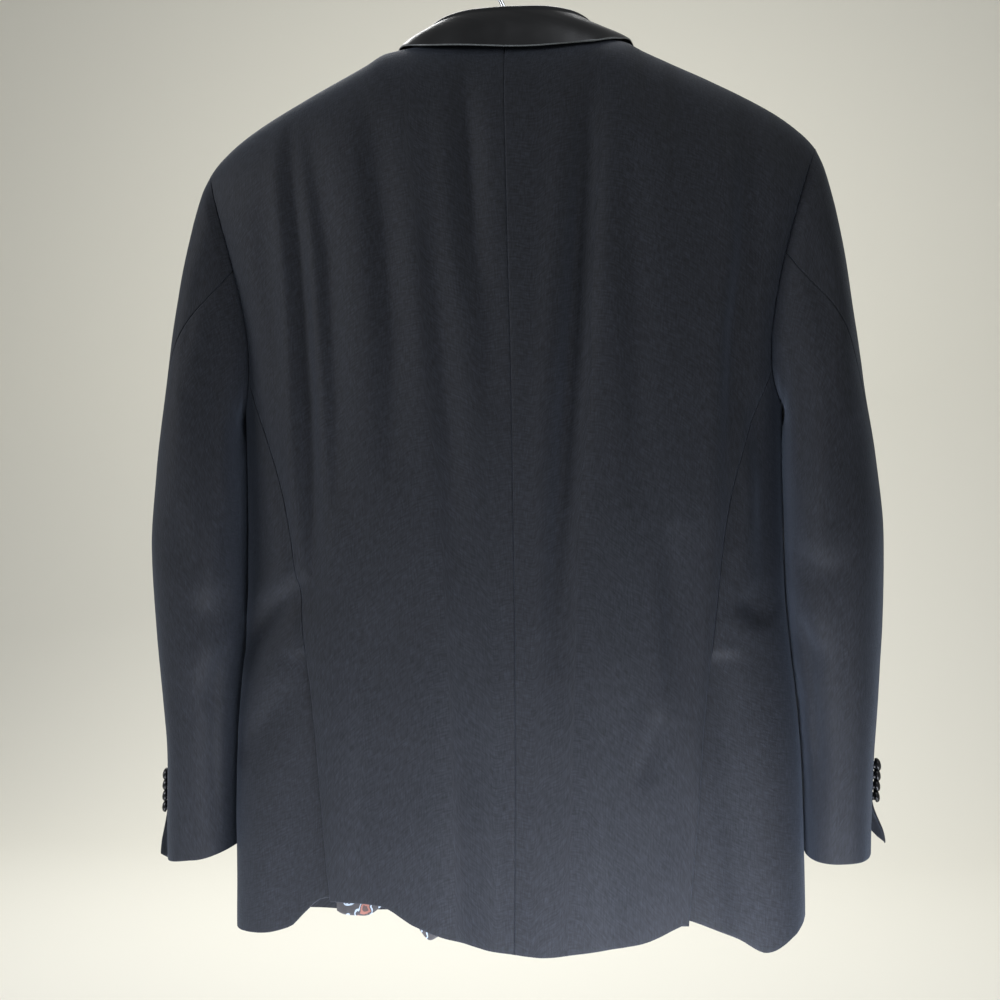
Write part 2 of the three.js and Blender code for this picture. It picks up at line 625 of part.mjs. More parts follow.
// A point on one front, moved outwards along the surface normal; x is counted out to that side.
function onFront(label, x, down, lift) {
  const sign = SIDES[label];
  const at = (px, pd) => bodyPoint(-1, sign * px, pd, -frontInset(label, px, pd));
  const across = at(x + 0.5, down).sub(at(x - 0.5, down));
  const along = at(x, down + 0.5).sub(at(x, down - 0.5));
  const normal = across.cross(along).normalize();
  if (normal.y > 0) normal.negate();
  return at(x, down).addScaledVector(normal, lift);
}

// Armhole: a loop on the body's edges, by angle from the shoulder point round the back
const SCYE_MIDDLE = (RIDGE[7].down + UNDERARM_DOWN) / 2;
const SCYE_HALF = (UNDERARM_DOWN - RIDGE[7].down) / 2;
const scyeAngle = (down) => (Math.acos((SCYE_MIDDLE - down) / SCYE_HALF) * 180) / Math.PI;
const BACK_SCYE_ANGLE = scyeAngle(BACK_SCYE_DOWN);
const FRONT_SCYE_ANGLE = 360 - scyeAngle(FRONT_SCYE_DOWN);
function armhole(sign, degrees) {
  const around = ((degrees % 360) + 360) % 360;
  const down = SCYE_MIDDLE - SCYE_HALF * Math.cos(radians(around));
  if (around <= BACK_SCYE_ANGLE) return bodyPoint(1, sign * backEdge(down), down);
  if (around >= FRONT_SCYE_ANGLE) return bodyPoint(-1, sign * frontEdge(down), down);
  const across = (around - BACK_SCYE_ANGLE) / (FRONT_SCYE_ANGLE - BACK_SCYE_ANGLE);
  const low = sidePlace(across, 0);
  const turn = mix(angleAt(backEdge(low), low), 180 - angleAt(frontEdge(low), low), across);
  return sidePoint(sign, turn, low);
}

// Sleeves: a tube lofted from the armhole to the cuff, cut at the hind-arm and fore-arm seams
const SLEEVE_KEYS = ["outX", "outDown", "inX", "inDown", "half", "mid", "hind", "fore"];
const sleeveColumn = Object.fromEntries(SLEEVE_KEYS.map((key) => [key, curve(SLEEVE, "v", key)]));
const SCYE_AIR = 1.2; // from the armhole's edge to the sleeve's
const SLEEVE_LENGTH = 600;
const SLEEVE_GIRTH = 1.05; // millimetres round the sleeve for each degree, about the elbow
function sleeveFrame(v) {
  const at = Object.fromEntries(Object.entries(sleeveColumn).map(([key, column]) => [key, column(v)]));
  const half = Math.hypot(at.outX - at.inX, at.outDown - at.inDown) / 2;
  const way = { x: (at.outX - at.inX) / 2 / half, z: (at.inDown - at.outDown) / 2 / half };
  return { ...at, reach: half, way, x: (at.outX + at.inX) / 2, down: (at.outDown + at.inDown) / 2 };
}
const SCYE_FRAME = sleeveFrame(0);
function sleevePoint(label, degrees, v) {
  const sign = SIDES[label];
  const frame = sleeveFrame(v);
  const angle = radians(degrees);
  const round = {
    a: power(Math.cos(angle), 2 / SLEEVE_POWER),
    b: power(Math.sin(angle), 2 / SLEEVE_POWER),
    n: 0,
  };
  const edge = armhole(1, degrees);
  const [ex, ez] = [edge.x + SCYE_AIR - SCYE_FRAME.x, edge.z + SCYE_FRAME.down];
  const cut = {
    a: (ex * SCYE_FRAME.way.x + ez * SCYE_FRAME.way.z) / SCYE_FRAME.reach,
    b: edge.y / SCYE_FRAME.half,
    n: ex * SCYE_FRAME.way.z - ez * SCYE_FRAME.way.x,
  };
  const share = smooth(0, 0.3, v);
  const local = { a: mix(cut.a, round.a, share), b: mix(cut.b, round.b, share), n: mix(cut.n, 0, share) };
  const lines = SLEEVE_CREASES[label].map((c) => ({
    a0: c.a0 * SLEEVE_GIRTH, b0: c.v0 * SLEEVE_LENGTH, a1: c.a1 * SLEEVE_GIRTH, b1: c.v1 * SLEEVE_LENGTH,
    depth: c.depth, width: c.width,
  }));
  const around = ((degrees % 360) + 360) % 360;
  const sink = troughs(lines, around * SLEEVE_GIRTH, v * SLEEVE_LENGTH) * smooth(0, 0.06, v);
  const span = 1 - sink / Math.hypot(frame.reach * local.a, frame.half * local.b);
  const a = frame.reach * local.a * span;
  const y = frame.mid + frame.half * local.b * span;
  const down = frame.down - frame.way.z * a + frame.way.x * local.n + CUFF_DROP[label] * smooth(0.3, 1, v);
  const clear = (bodySide(y, down) + SLEEVE_AIR) * smooth(0.08, 0.2, v);
  const x = Math.max(frame.x + frame.way.x * a + frame.way.z * local.n, clear);
  return new THREE.Vector3(sign * x, y, -down);
}
// How far out the body's side is at a depth y and a height.
function bodySide(y, down) {
  const share = Math.abs(y) / (y > 0 ? bodyBack(down) : bodyFront(down));
  return share < 1 ? bodyWidth(down) * (1 - share ** PLAN_POWER) ** (1 / PLAN_POWER) : 0;
}
// The outward direction of the sleeve's cloth, level with the ground.
function sleeveOutwards(label, degrees, v) {
  const around = sleevePoint(label, degrees + 2, v).sub(sleevePoint(label, degrees - 2, v)).setZ(0);
  return new THREE.Vector3(around.y, -around.x, 0).normalize().multiplyScalar(SIDES[label]);
}
function sleevePanel(name, label, columns, from, to) {
  const point = (s, t) => {
    const degrees = mix(from(t), to(t), s);
    const p = sleevePoint(label, degrees, t);
    const nearVent = name.startsWith("sleeve_top") ? smooth(-22, 0, degrees - hindSeam(label, t)) : 0;
    const flare = CUFF_FLARE[label] * nearVent * smooth(0.93, 1, t) ** 1.2;
    return flare ? p.addScaledVector(sleeveOutwards(label, degrees, t), flare) : p;
  };
  const trims = [2, 2, 1, 1];
  return wall(name, -SIDES[label], point, columns, steps(GRID.sleeveRows), CLOTH, MATERIALS.wool, trims);
}
const hindSeam = (label, v) => sleeveColumn.hind(v) + CUFF_TURN[label] * smooth(0.3, 0.8, v);
const foreSeam = (label, v) => sleeveColumn.fore(v) + CUFF_TURN[label] * smooth(0.3, 0.8, v);
function sleeveTop(label) {
  const from = (t) => foreSeam(label, t) - 360;
  return sleevePanel(`sleeve_top_${label}`, label, GRID.sleeveTop, from, (t) => hindSeam(label, t));
}
function sleeveUnder(label) {
  const to = (t) => foreSeam(label, t);
  return sleevePanel(`sleeve_under_${label}`, label, GRID.sleeveUnder, (t) => hindSeam(label, t), to);
}

// Collar: one folded band, stand inside and fall outside, round the neck to both notches
const line3 = (rows) => ({
  x: curve(rows, "u", "x"),
  y: curve(rows, "u", "y"),
  down: curve(rows, "u", "down"),
});
const COLLAR_LINES = { seam: line3(COLLAR_SEAM), roll: line3(COLLAR_ROLL), edge: line3(COLLAR_EDGE) };
function collarLine(kind, u) {
  const at = Math.abs(u);
  const line = COLLAR_LINES[kind];
  const lean = kind === "seam" ? 0 : COLLAR_LEAN * (1 - smooth(0.5, 0.85, at));
  return new THREE.Vector3(Math.sign(u) * line.x(at) + lean, line.y(at), -line.down(at));
}
function collarSection(u) {
  const roll = collarLine("roll", u);
  const edge = collarLine("edge", u);
  const line = collarLine("seam", u);
  const away = edge.clone().sub(line).setZ(0).normalize();
  const seam = line.addScaledVector(away, -COLLAR_CLOTH - 2.8);
  const end = smooth(0.8, 1, Math.abs(u));
  const fold = mix(COLLAR_FOLD, 1.9, end);
  const standTop = roll.clone().addScaledVector(away, -fold * 0.9).add(new THREE.Vector3(0, 0, -fold));
  const fallTop = roll.clone().addScaledVector(away, fold).add(new THREE.Vector3(0, 0, -fold));
  const stand = steps(GRID.collar.stand).map((k) => seam.clone().lerp(standTop, k));
  const notch = new THREE.Vector3(Math.sign(u) * GORGE_END.x, GORGE_END.y, -GORGE_END.down);
  const fall = steps(GRID.collar.fall).map((k) => {
    const p = fallTop.clone().lerp(edge, k);
    const bow = COLLAR_ROUND * Math.sin(Math.PI * k) * (1 - end);
    p.addScaledVector(away, bow * 0.7).setZ(p.z + bow * 0.7);
    const bent = k < 0.5 ? fallTop.clone().lerp(notch, k * 2) : notch.clone().lerp(edge, k * 2 - 1);
    p.lerp(bent, smooth(0.88, 1, Math.abs(u)) ** 2);
    return k > 0.2 ? clearOfBody(p, COLLAR_CLOTH + LAID_ON + 0.4) : p;
  });
  return [...stand, roll, ...fall];
}
function collar() {
  const sections = steps(GRID.collar.along, -1, 1).map((u) => collarSection(Math.abs(u) < 1e-9 ? 1e-6 : u));
  const [m, n] = [sections.length - 1, sections[0].length - 1];
  const inner = sections.map((section, j) =>
    section.map((p, i) => {
      const along = sections[Math.min(j + 1, m)][i].clone().sub(sections[Math.max(j - 1, 0)][i]);
      const across = section[Math.min(i + 1, n)].clone().sub(section[Math.max(i - 1, 0)]);
      return p.clone().addScaledVector(across.cross(along).normalize(), COLLAR_CLOTH);
    }),
  );
  return new Piece("collar", closedSheet(sections, inner), MATERIALS.satin);
}

// Lapels: satin-faced, rolled back along the opening and lying on the fronts
const lapelColumn = Object.fromEntries(
  ["rollX", "rollDown", "edgeX", "edgeDown"].map((key) => [key, curve(LAPEL, "t", key)]),
);
function lapel(label) {
  const under = label === "right";
  const point = (s, t) => {
    const place = under ? t * 0.93 : t;
    const x = mix(lapelColumn.rollX(place), lapelColumn.edgeX(place), s);
    const down = mix(lapelColumn.rollDown(place), lapelColumn.edgeDown(place), s);
    const flat = under ? smooth(0.45, 0.72, place) : smooth(0.7, 0.95, place);
    const roll = 3.6 * Math.sin(Math.PI * clamp(s, 0, 1) ** 0.6) * (1 - flat);
    return onFront(label, x, down, LAID_ON + SATIN + roll);
  };
  const [across, length] = [steps(GRID.lapel.across), steps(GRID.lapel.down)];
  return wall(`lapel_${label}`, -SIDES[label], point, across, length, SATIN, MATERIALS.satin);
}

// Pocket pieces: narrow strips lying on the fronts, long edges along a slanted line
const JET = { from: { x: 66, down: 628 }, to: { x: 188, down: 634 }, height: 12 };
const WELT = { from: { x: 140, down: 309 }, to: { x: 200, down: 303 }, height: 23 };
function strip(name, label, { from, to, height }) {
  const point = (s, t) => {
    const x = mix(from.x, to.x, s);
    const down = mix(from.down, to.down, s) + mix(-height / 2, height / 2, t);
    return onFront(label, x, down, LAID_ON + 0.2 + SATIN);
  };
  return wall(name, -SIDES[label], point, steps(9), steps(1), SATIN, MATERIALS.satin, [0, 0, 0, 0]);
}

// The lining's lower edge inside the left back, drooping below the hem in two places
function liningStrip() {
  const point = (s, t) => {
    const x = mix(30, 139, s);
    const droop = 8 * Math.exp(-(((x - 122) / 17) ** 2)) + 7 * Math.exp(-(((x - 64) / 8) ** 2)) - 2.5;
    const down = backHem(x) + mix(-42, droop, t);
    const deeper = 3.6 * smooth(92, 116, x);
    return bodyPoint(1, x, down, -(CLOTH + 0.7 + deeper));
  };
  return wall("lining_hem", 1, point, steps(18), steps(4), LINING, MATERIALS.lining, [0, 0, 0, 0]);
}

// Satin-covered buttons: a low dome on a flat back, turned about its own axis
const BACK_SHARE = 0.86; // radius of the flat back, as a share of the button's
function button(name, radius, thickness, place, outwards) {
  const rim = thickness * 0.45;
  const profile = [
    [0, 0], [radius * BACK_SHARE, 0], [radius, rim * 0.55], [radius * 0.95, rim * 1.25],
    [radius * 0.6, thickness * 0.9], [0, thickness],
  ].map(([r, h]) => new THREE.Vector2(r, h));
  const mesh = new Piece(name, new THREE.LatheGeometry(profile, 14), MATERIALS.satin);
  mesh.quaternion.setFromUnitVectors(new THREE.Vector3(0, 1, 0), outwards);
  mesh.position.copy(place);
  return mesh;
}
function cuffButtons(label) {
  return Array.from({ length: CUFF_BUTTON.count }, (_, i) => {
    const down = CUFF_BUTTON.topDown + i * CUFF_BUTTON.pitch;
    const [above, below] = SLEEVE.slice(-2);
    const v = mix(above.v, below.v, (down - above.outDown) / (below.outDown - above.outDown));
    const level = sleeveOutwards(label, BUTTON_TURN[label], v);
    const tilt = radians(CUFF_BUTTON.tilt);
    const outwards = level.clone().multiplyScalar(Math.cos(tilt)).setZ(Math.sin(tilt));
    const lift = SHANK + CUFF_BUTTON.radius * BACK_SHARE * Math.sin(tilt);
    const place = sleevePoint(label, BUTTON_TURN[label], v).addScaledVector(level, lift);
    const name = `cuff_button_${label}_${i + 1}`;
    return button(name, CUFF_BUTTON.radius, CUFF_BUTTON.thickness, place, outwards);
  });
}
function frontButton() {
  const place = onFront("left", 0, FRONT_BUTTON.down, SHANK);
  const forwards = new THREE.Vector3(0, -1, 0);
  return button("front_button", FRONT_BUTTON.radius, FRONT_BUTTON.thickness, place, forwards);
}

// The hanger: a shaped wooden bar just under the shoulders, and a wire hook above it
function hangerBar() {
  const depth = curve(HANGER, "out", "depth");
  const height = curve(HANGER, "out", "height");
  const end = HANGER.at(-1).out;
  const corners = 12;
  const rings = steps(26, -end, end).map((x) => {
    const top = -ridgeDown(Math.abs(x)) - CLOTH - HANGER_AIR - 0.5 * smooth(40, 120, Math.abs(x));
    const [halfDepth, halfHeight] = [depth(Math.abs(x)), height(Math.abs(x)) / 2];
    return Array.from({ length: corners }, (_, k) => {
      const angle = (2 * Math.PI * k) / corners;
      const y = halfDepth * power(Math.cos(angle), 0.9);
      return new THREE.Vector3(x, y, top - halfHeight + halfHeight * power(Math.sin(angle), 0.9));
    });
  });
  const points = rings.flat();
  const faces = [];
  rings.slice(1).forEach((_, j) => {
    for (let k = 0; k < corners; k += 1) {
      const next = (k + 1) % corners;
      const [a, b] = [j * corners + k, j * corners + next];
      faces.push(a, b, b + corners, a, b + corners, a + corners);
    }
  });
  const lastRing = (rings.length - 1) * corners;
  for (let k = 1; k < corners - 1; k += 1) {
    faces.push(0, k + 1, k, lastRing, lastRing + k, lastRing + k + 1);
  }
  return new Piece("hanger_bar", geometryFrom(points, faces), MATERIALS.wood);
}
function hangerHook() {
  const foot = ridgeDown(0) + CLOTH + HANGER_AIR - 0.3;
  const bowDown = HOOK.bow - HOOK.wire;
  const bend = steps(14, -38, 196).map((degrees) => {
    const angle = radians(degrees);
    return new THREE.Vector3(HOOK.bow * Math.cos(angle), 0, -bowDown + HOOK.bow * Math.sin(angle));
  });
  const path = new THREE.CatmullRomCurve3([
    new THREE.Vector3(0, 0, -foot),
    new THREE.Vector3(0, 0, -mix(foot, HOOK.neckDown, 0.6)),
    new THREE.Vector3(1, 0, -HOOK.neckDown),
    ...bend,
  ]);
  const wire = new THREE.Shape().absarc(0, 0, HOOK.wire, 0, 2 * Math.PI);
  const geometry = new THREE.ExtrudeGeometry(wire, { steps: 34, extrudePath: path, curveSegments: 5 });
  return new Piece("hanger_hook", geometry, MATERIALS.steel);
}

const jacket = new THREE.Group();
for (const label of ["left", "right"]) {
  jacket.add(back(label), side(label), front(label));
  jacket.add(sleeveTop(label), sleeveUnder(label), lapel(label));
  jacket.add(strip(`pocket_jet_${label}`, label, JET));
  jacket.add(...cuffButtons(label));
}
jacket.add(strip("breast_welt", "left", WELT));
jacket.add(collar(), liningStrip(), frontButton(), hangerBar(), hangerHook());

export default jacket;
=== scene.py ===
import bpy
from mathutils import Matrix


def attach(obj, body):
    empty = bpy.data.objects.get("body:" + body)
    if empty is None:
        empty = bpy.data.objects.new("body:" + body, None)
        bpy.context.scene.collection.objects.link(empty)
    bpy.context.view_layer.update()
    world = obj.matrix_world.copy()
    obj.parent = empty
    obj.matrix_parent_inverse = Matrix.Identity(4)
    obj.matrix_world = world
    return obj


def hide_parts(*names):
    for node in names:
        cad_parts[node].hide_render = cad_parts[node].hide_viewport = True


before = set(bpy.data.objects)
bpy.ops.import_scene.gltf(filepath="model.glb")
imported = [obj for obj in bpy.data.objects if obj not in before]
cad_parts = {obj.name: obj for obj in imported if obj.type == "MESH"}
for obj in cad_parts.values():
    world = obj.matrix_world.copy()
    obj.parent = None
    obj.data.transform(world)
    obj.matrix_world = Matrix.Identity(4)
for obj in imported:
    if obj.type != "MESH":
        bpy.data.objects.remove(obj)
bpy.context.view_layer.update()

import math

import bpy
import numpy as np
from mathutils import Matrix, Vector

# The camera
# The photograph was taken from behind, level with the jacket's middle, 7 degrees to its right and
# turned a little. The image is square.
view_middle = Vector((0.010, 0.0, -0.482))
view_distance = 1.150
view_turn = math.radians(7.0)
view_roll = math.radians(0.65)
view_share = 1.3372  # focal length over the image's width
forwards = Vector((math.sin(view_turn), -math.cos(view_turn), 0.0))
level_right = Vector((-math.cos(view_turn), -math.sin(view_turn), 0.0))
right = level_right * math.cos(view_roll) - Vector((0, 0, 1)) * math.sin(view_roll)
upright = Vector((0, 0, 1)) * math.cos(view_roll) + level_right * math.sin(view_roll)
camera_data = bpy.data.cameras.new("camera")
camera_data.sensor_width = 36.0
camera_data.lens = 36.0 * view_share
camera_data.clip_start = 0.02
camera_data.clip_end = 30.0
camera = bpy.data.objects.new("camera", camera_data)
columns = Matrix((right, upright, -forwards)).transposed()
camera.matrix_world = Matrix.Translation(view_middle - forwards * view_distance) @ columns.to_4x4()
bpy.context.scene.collection.objects.link(camera)
bpy.context.scene.camera = camera
bpy.context.scene.view_settings.view_transform = "Standard"


# The floor and the light
# A plain pale floor that rises in one sweep behind the jacket. Soft light comes from the upper left,
# a weaker one from the right, and three small ones from near the floor reach the skirt.
def linear(code):
    """A colour written as sRGB hex, turned to linear values."""
    parts = [int(code[i : i + 2], 16) / 255 for i in (1, 3, 5)]
    return tuple(c / 12.92 if c <= 0.04045 else ((c + 0.055) / 1.055) ** 2.4 for c in parts)


def material(name, base, roughness, **more):
    """A material with one principled shader. More are values of that shader's own inputs."""
    made = bpy.data.materials.new(name)
    made.use_nodes = True
    shader = made.node_tree.nodes["Principled BSDF"]
    shader.inputs["Base Color"].default_value = (*linear(base), 1)
    shader.inputs["Roughness"].default_value = roughness
    for key, value in more.items():
        shader.inputs[key.replace("_", " ")].default_value = value
    return made


def node(made, kind, values=(), links=(), **settings):
    """Adds one node. values sets its inputs by name or number, and links joins them to outputs."""
    new = made.node_tree.nodes.new("ShaderNode" + kind)
    for key, value in settings.items():
        setattr(new, key, value)
    for key, value in dict(values).items():
        new.inputs[key].default_value = value
    for key, output in dict(links).items():
        made.node_tree.links.new(output, new.inputs[key])
    return new


def feed(made, name, output):
    """Links an output to one input of the material's own shader."""
    made.node_tree.links.new(output, made.node_tree.nodes["Principled BSDF"].inputs[name])


def noise(made, place, scale, detail, **more):
    """A noise texture's grey output; the scale is in features per metre."""
    values = {"Scale": scale, "Detail": detail, **more}
    return node(made, "TexNoise", values, {"Vector": place}).outputs["Fac"]


def toned(made, colour, share):
    """Links a colour to the shader, darker or lighter by the share that an output gives."""
    tone = node(made, "VectorMath", {0: linear(colour)}, {"Scale": share}, operation="SCALE")
    feed(made, "Base Color", tone.outputs[0])


def bumped(made, height, strength, distance, under=None):
    """Links a bump of an output's height to the shader. Under is the bump that it lies on."""
    links = {"Height": height, "Normal": under} if under else {"Height": height}
    bump = node(made, "Bump", {"Strength": strength, "Distance": distance}, links)
    feed(made, "Normal", bump.outputs[0])
    return bump.outputs[0]


def mesh_object(name, points, faces, materials, uvs=None, indices=None):
    """A smooth mesh from points in metres, with a UV for each point and a material for each face."""
    mesh = bpy.data.meshes.new(name)
    faces = faces.tolist() if isinstance(faces, np.ndarray) else faces
    mesh.from_pydata(np.asarray(points).tolist(), [], faces)
    for made in materials:
        mesh.materials.append(made)
    mesh.polygons.foreach_set("use_smooth", [True] * len(mesh.polygons))
    if indices is not None:
        mesh.polygons.foreach_set("material_index", np.asarray(indices, np.int32))
    if uvs is not None:
        layer = mesh.uv_layers.new(name="UVMap")
        corners = np.zeros(len(mesh.loops), np.int32)
        mesh.loops.foreach_get("vertex_index", corners)
        layer.data.foreach_set("uv", np.asarray(uvs, np.float32)[corners].ravel())
    made = bpy.data.objects.new(name, mesh)
    bpy.context.scene.collection.objects.link(made)
    return made


floor_down, sweep_radius, wall_back = -1.35, 1.3, -3.4
arc = np.linspace(-math.pi / 2, 0, 24)
sweep = [(4.5, floor_down)]
sweep += [
    (wall_back + sweep_radius - sweep_radius * math.cos(a), floor_down + sweep_radius * (1 + math.sin(a)))
    for a in arc
]
sweep += [(wall_back, 3.2)]
sweep_points = [(x, y, z) for y, z in sweep for x in (-5.5, 5.5)]
sweep_faces = [(2 * i, 2 * i + 1, 2 * i + 3, 2 * i + 2) for i in range(len(sweep) - 1)]
plaster = material("matt_plaster", "#e2e0d6", 0.95)
floor = mesh_object("studio_floor", sweep_points, sweep_faces, [plaster])

world = bpy.data.worlds.new("studio")
world.use_nodes = True
world.node_tree.nodes["Background"].inputs["Color"].default_value = (*linear("#f1f2f2"), 1)
world.node_tree.nodes["Background"].inputs["Strength"].default_value = 0.34
bpy.context.scene.world = world


def soft_light(name, place, towards, size, power, colour):
    """A soft square light that the camera doesn't see."""
    data = bpy.data.lights.new(name, "AREA")
    data.size = size
    data.energy = power
    data.color = linear(colour)
    light = bpy.data.objects.new(name, data)
    light.location = place
    light.rotation_euler = (Vector(towards) - Vector(place)).to_track_quat("-Z", "Y").to_euler()
    light.visible_camera = False
    bpy.context.scene.collection.objects.link(light)


soft_light("light_left", (2.0, 1.0, 0.35), (0.0, 0.0, -0.35), 0.7, 34, "#f6f8ff")
soft_light("light_right", (-1.3, 1.2, 1.2), (0.0, 0.0, -0.2), 0.8, 13, "#f4f8ff")
soft_light("light_low", (-0.1, 0.28, -1.02), (-0.05, 0.06, -0.78), 0.4, 4.8, "#ecf2ff")
soft_light("light_low_left", (0.28, 0.22, -1.02), (0.17, 0.02, -0.78), 0.3, 1.6, "#ecf2ff")
soft_light("light_low_right", (-0.3, 0.22, -1.02), (-0.17, 0.02, -0.78), 0.3, 2.5, "#ecf2ff")
soft_light("light_top", (-0.2, -1.4, 2.3), (0.0, 0.0, -0.1), 0.8, 10, "#ffffff")
soft_light("light_front", (0.6, -2.0, 1.1), (0.0, 0.0, -0.4), 1.4, 36, "#ffffff")
soft_light("light_wall", (0.3, -1.2, 0.5), (0.2, -3.4, -0.3), 1.4, 22, "#fffdf6")


# The backs
# Two lengths of black worsted wool, joined by the centre-back seam and cut to the armhole, the side
# seam and the hem. They hang from the shoulder line, so long soft creases run down them.
def curve(rows, given, wanted):
    """A smooth curve without overshoot through a table: one named column at a place in another."""
    x, y = np.array(rows[given], float), np.array(rows[wanted], float)
    secant = np.diff(y) / np.diff(x)
    before, after = secant[:-1], secant[1:]
    total = np.where(before + after == 0, 1, before + after)
    inside = np.where(before * after <= 0, 0, 2 * before * after / total)
    slope = np.concatenate(([secant[0]], inside, [secant[-1]]))

    def at(place):
        place = np.clip(place, x[0], x[-1])
        i = np.clip(np.searchsorted(x, place, side="right") - 1, 0, len(x) - 2)
        span, rise = x[i + 1] - x[i], y[i + 1] - y[i]
        t = (place - x[i]) / span
        bend = (slope[i] * (1 - t) - slope[i + 1] * t) * span + rise * (2 * t - 1)
        return y[i] + rise * t + t * (1 - t) * bend

    return at


def mix(a, b, share):
    return a + (b - a) * share


def smooth(low, high, x):
    t = np.clip((x - low) / (high - low), 0, 1)
    return t * t * (3 - 2 * t)


def power(x, exponent):
    return np.sign(x) * np.abs(x) ** exponent


def unit(v):
    return v / np.maximum(np.linalg.norm(v, axis=-1, keepdims=True), 1e-12)


# A fold's two walls and the ridge beside it, as shares of its half width
STEEP_WALL, FLAT_WALL, RIDGE_AWAY, RIDGE_SPREAD = 1.25, 2.1, 1.9, 1.1


def folds(table, a, b):
    """Depth of hanging folds at a place (a, b): a trough along each path, steep on one side, where a
    low ridge runs beside it."""
    a, b = np.broadcast_arrays(np.asarray(a, float), np.asarray(b, float))
    total = np.zeros(a.shape)
    for path, depth, width, ridge in table:
        path = np.array(path, float)
        legs = np.diff(path, axis=0)
        lengths = np.hypot(legs[:, 0], legs[:, 1])
        nearest = np.full(a.shape, 1e9)
        along = np.zeros(a.shape)
        aside = np.zeros(a.shape)
        for k, (leg, length) in enumerate(zip(legs, lengths)):
            da, db = a - path[k, 0], b - path[k, 1]
            t = np.clip((da * leg[0] + db * leg[1]) / length**2, 0, 1)
            away = np.hypot(da - t * leg[0], db - t * leg[1])
            closer = away < nearest
            side = np.where(da * leg[1] - db * leg[0] > 0, 1.0, -1.0)
            nearest = np.where(closer, away, nearest)
            along = np.where(closer, (lengths[:k].sum() + t * length) / lengths.sum(), along)
            aside = np.where(closer, side, aside)
        place = aside * nearest / (width * np.where(aside > 0, STEEP_WALL, FLAT_WALL))
        beside = (place - RIDGE_AWAY) / RIDGE_SPREAD
        shape = np.exp(-(place**2)) - ridge * np.exp(-(beside**2))
        total = total + depth * shape * np.sin(np.pi * np.clip(along, 0.01, 0.99)) ** 0.7
    return total


def rumple(a, b, size):
    """Faint unevenness of worn cloth, from -1 to 1, with bumps about as long as the size."""
    waves = (
        (1.0, 0.31, 0.4), (-0.43, 0.92, 2.1), (0.71, -0.77, 4.0), (0.2, 1.17, 5.3), (-1.13, -0.36, 1.2),
    )
    bend = 1.3 * np.sin(a / size * 0.9 + 1.0) + 1.1 * np.sin(b / size * 0.7 + 2.0)
    total = 0
    for across, along, start in waves:
        total = total + np.sin((a * across + b * along) * 2.0 / size + start + bend)
    return total / len(waves)


NECK_OUT, NECK_BACK, NECK_HIDDEN, SHOULDER_OUT = 80, 47.5, 6, 257
ARCH, ARCH_POWER, PLAN_POWER = 105, 2.5, 3
SHOULDER_T, SCYE_T = 0.25, 0.37
BACK_SCYE_DOWN, FRONT_SCYE_DOWN, UNDERARM_DOWN = 376, 384, 408
BODY = {
    "down": [60, 190, 230, 270, 310, 345, 376, 410, 450, 560, 610, 660, 720, 775, 900],
    "width": [292, 285, 268, 252, 240, 232, 229, 228.5, 228, 229, 233, 238, 241.5, 242, 243],
    "back": [66, 74, 77, 79, 81, 82, 82, 81, 80, 77, 76, 75, 74, 74, 75],
    "front": [61, 70, 73, 75, 76, 77, 77, 76, 75, 72, 71, 71, 71, 70, 70],
}
RIDGE = {
    "out": [0, 60, 99, 118, 172, 221, 246, 257, 275],
    "down": [92, 93, 98, 108, 135, 162, 181, 193, 226],
}
BACK_EDGE = {
    "down": [92, 193, 215, 240, 272, 300, 330, 355, 376, 394, 430, 474, 525, 580, 659, 727, 823, 900],
    "out": [
        257, 257, 250, 242, 233, 226, 220.5, 218, 218, 213, 200, 186.5, 177, 170.5, 161, 155.5, 146, 140,
    ],
}
CENTRE_SEAM = {"down": [92, 112, 282, 426, 562, 669, 850], "x": [-3, -4, -8, -10, -10, -9, -6]}
BACK_HEM = {
    "x": [-140, -107, -60, -28, 0, 46, 75, 105, 140],
    "down": [823, 838, 846, 850, 848, 838, 828, 813, 811],
}
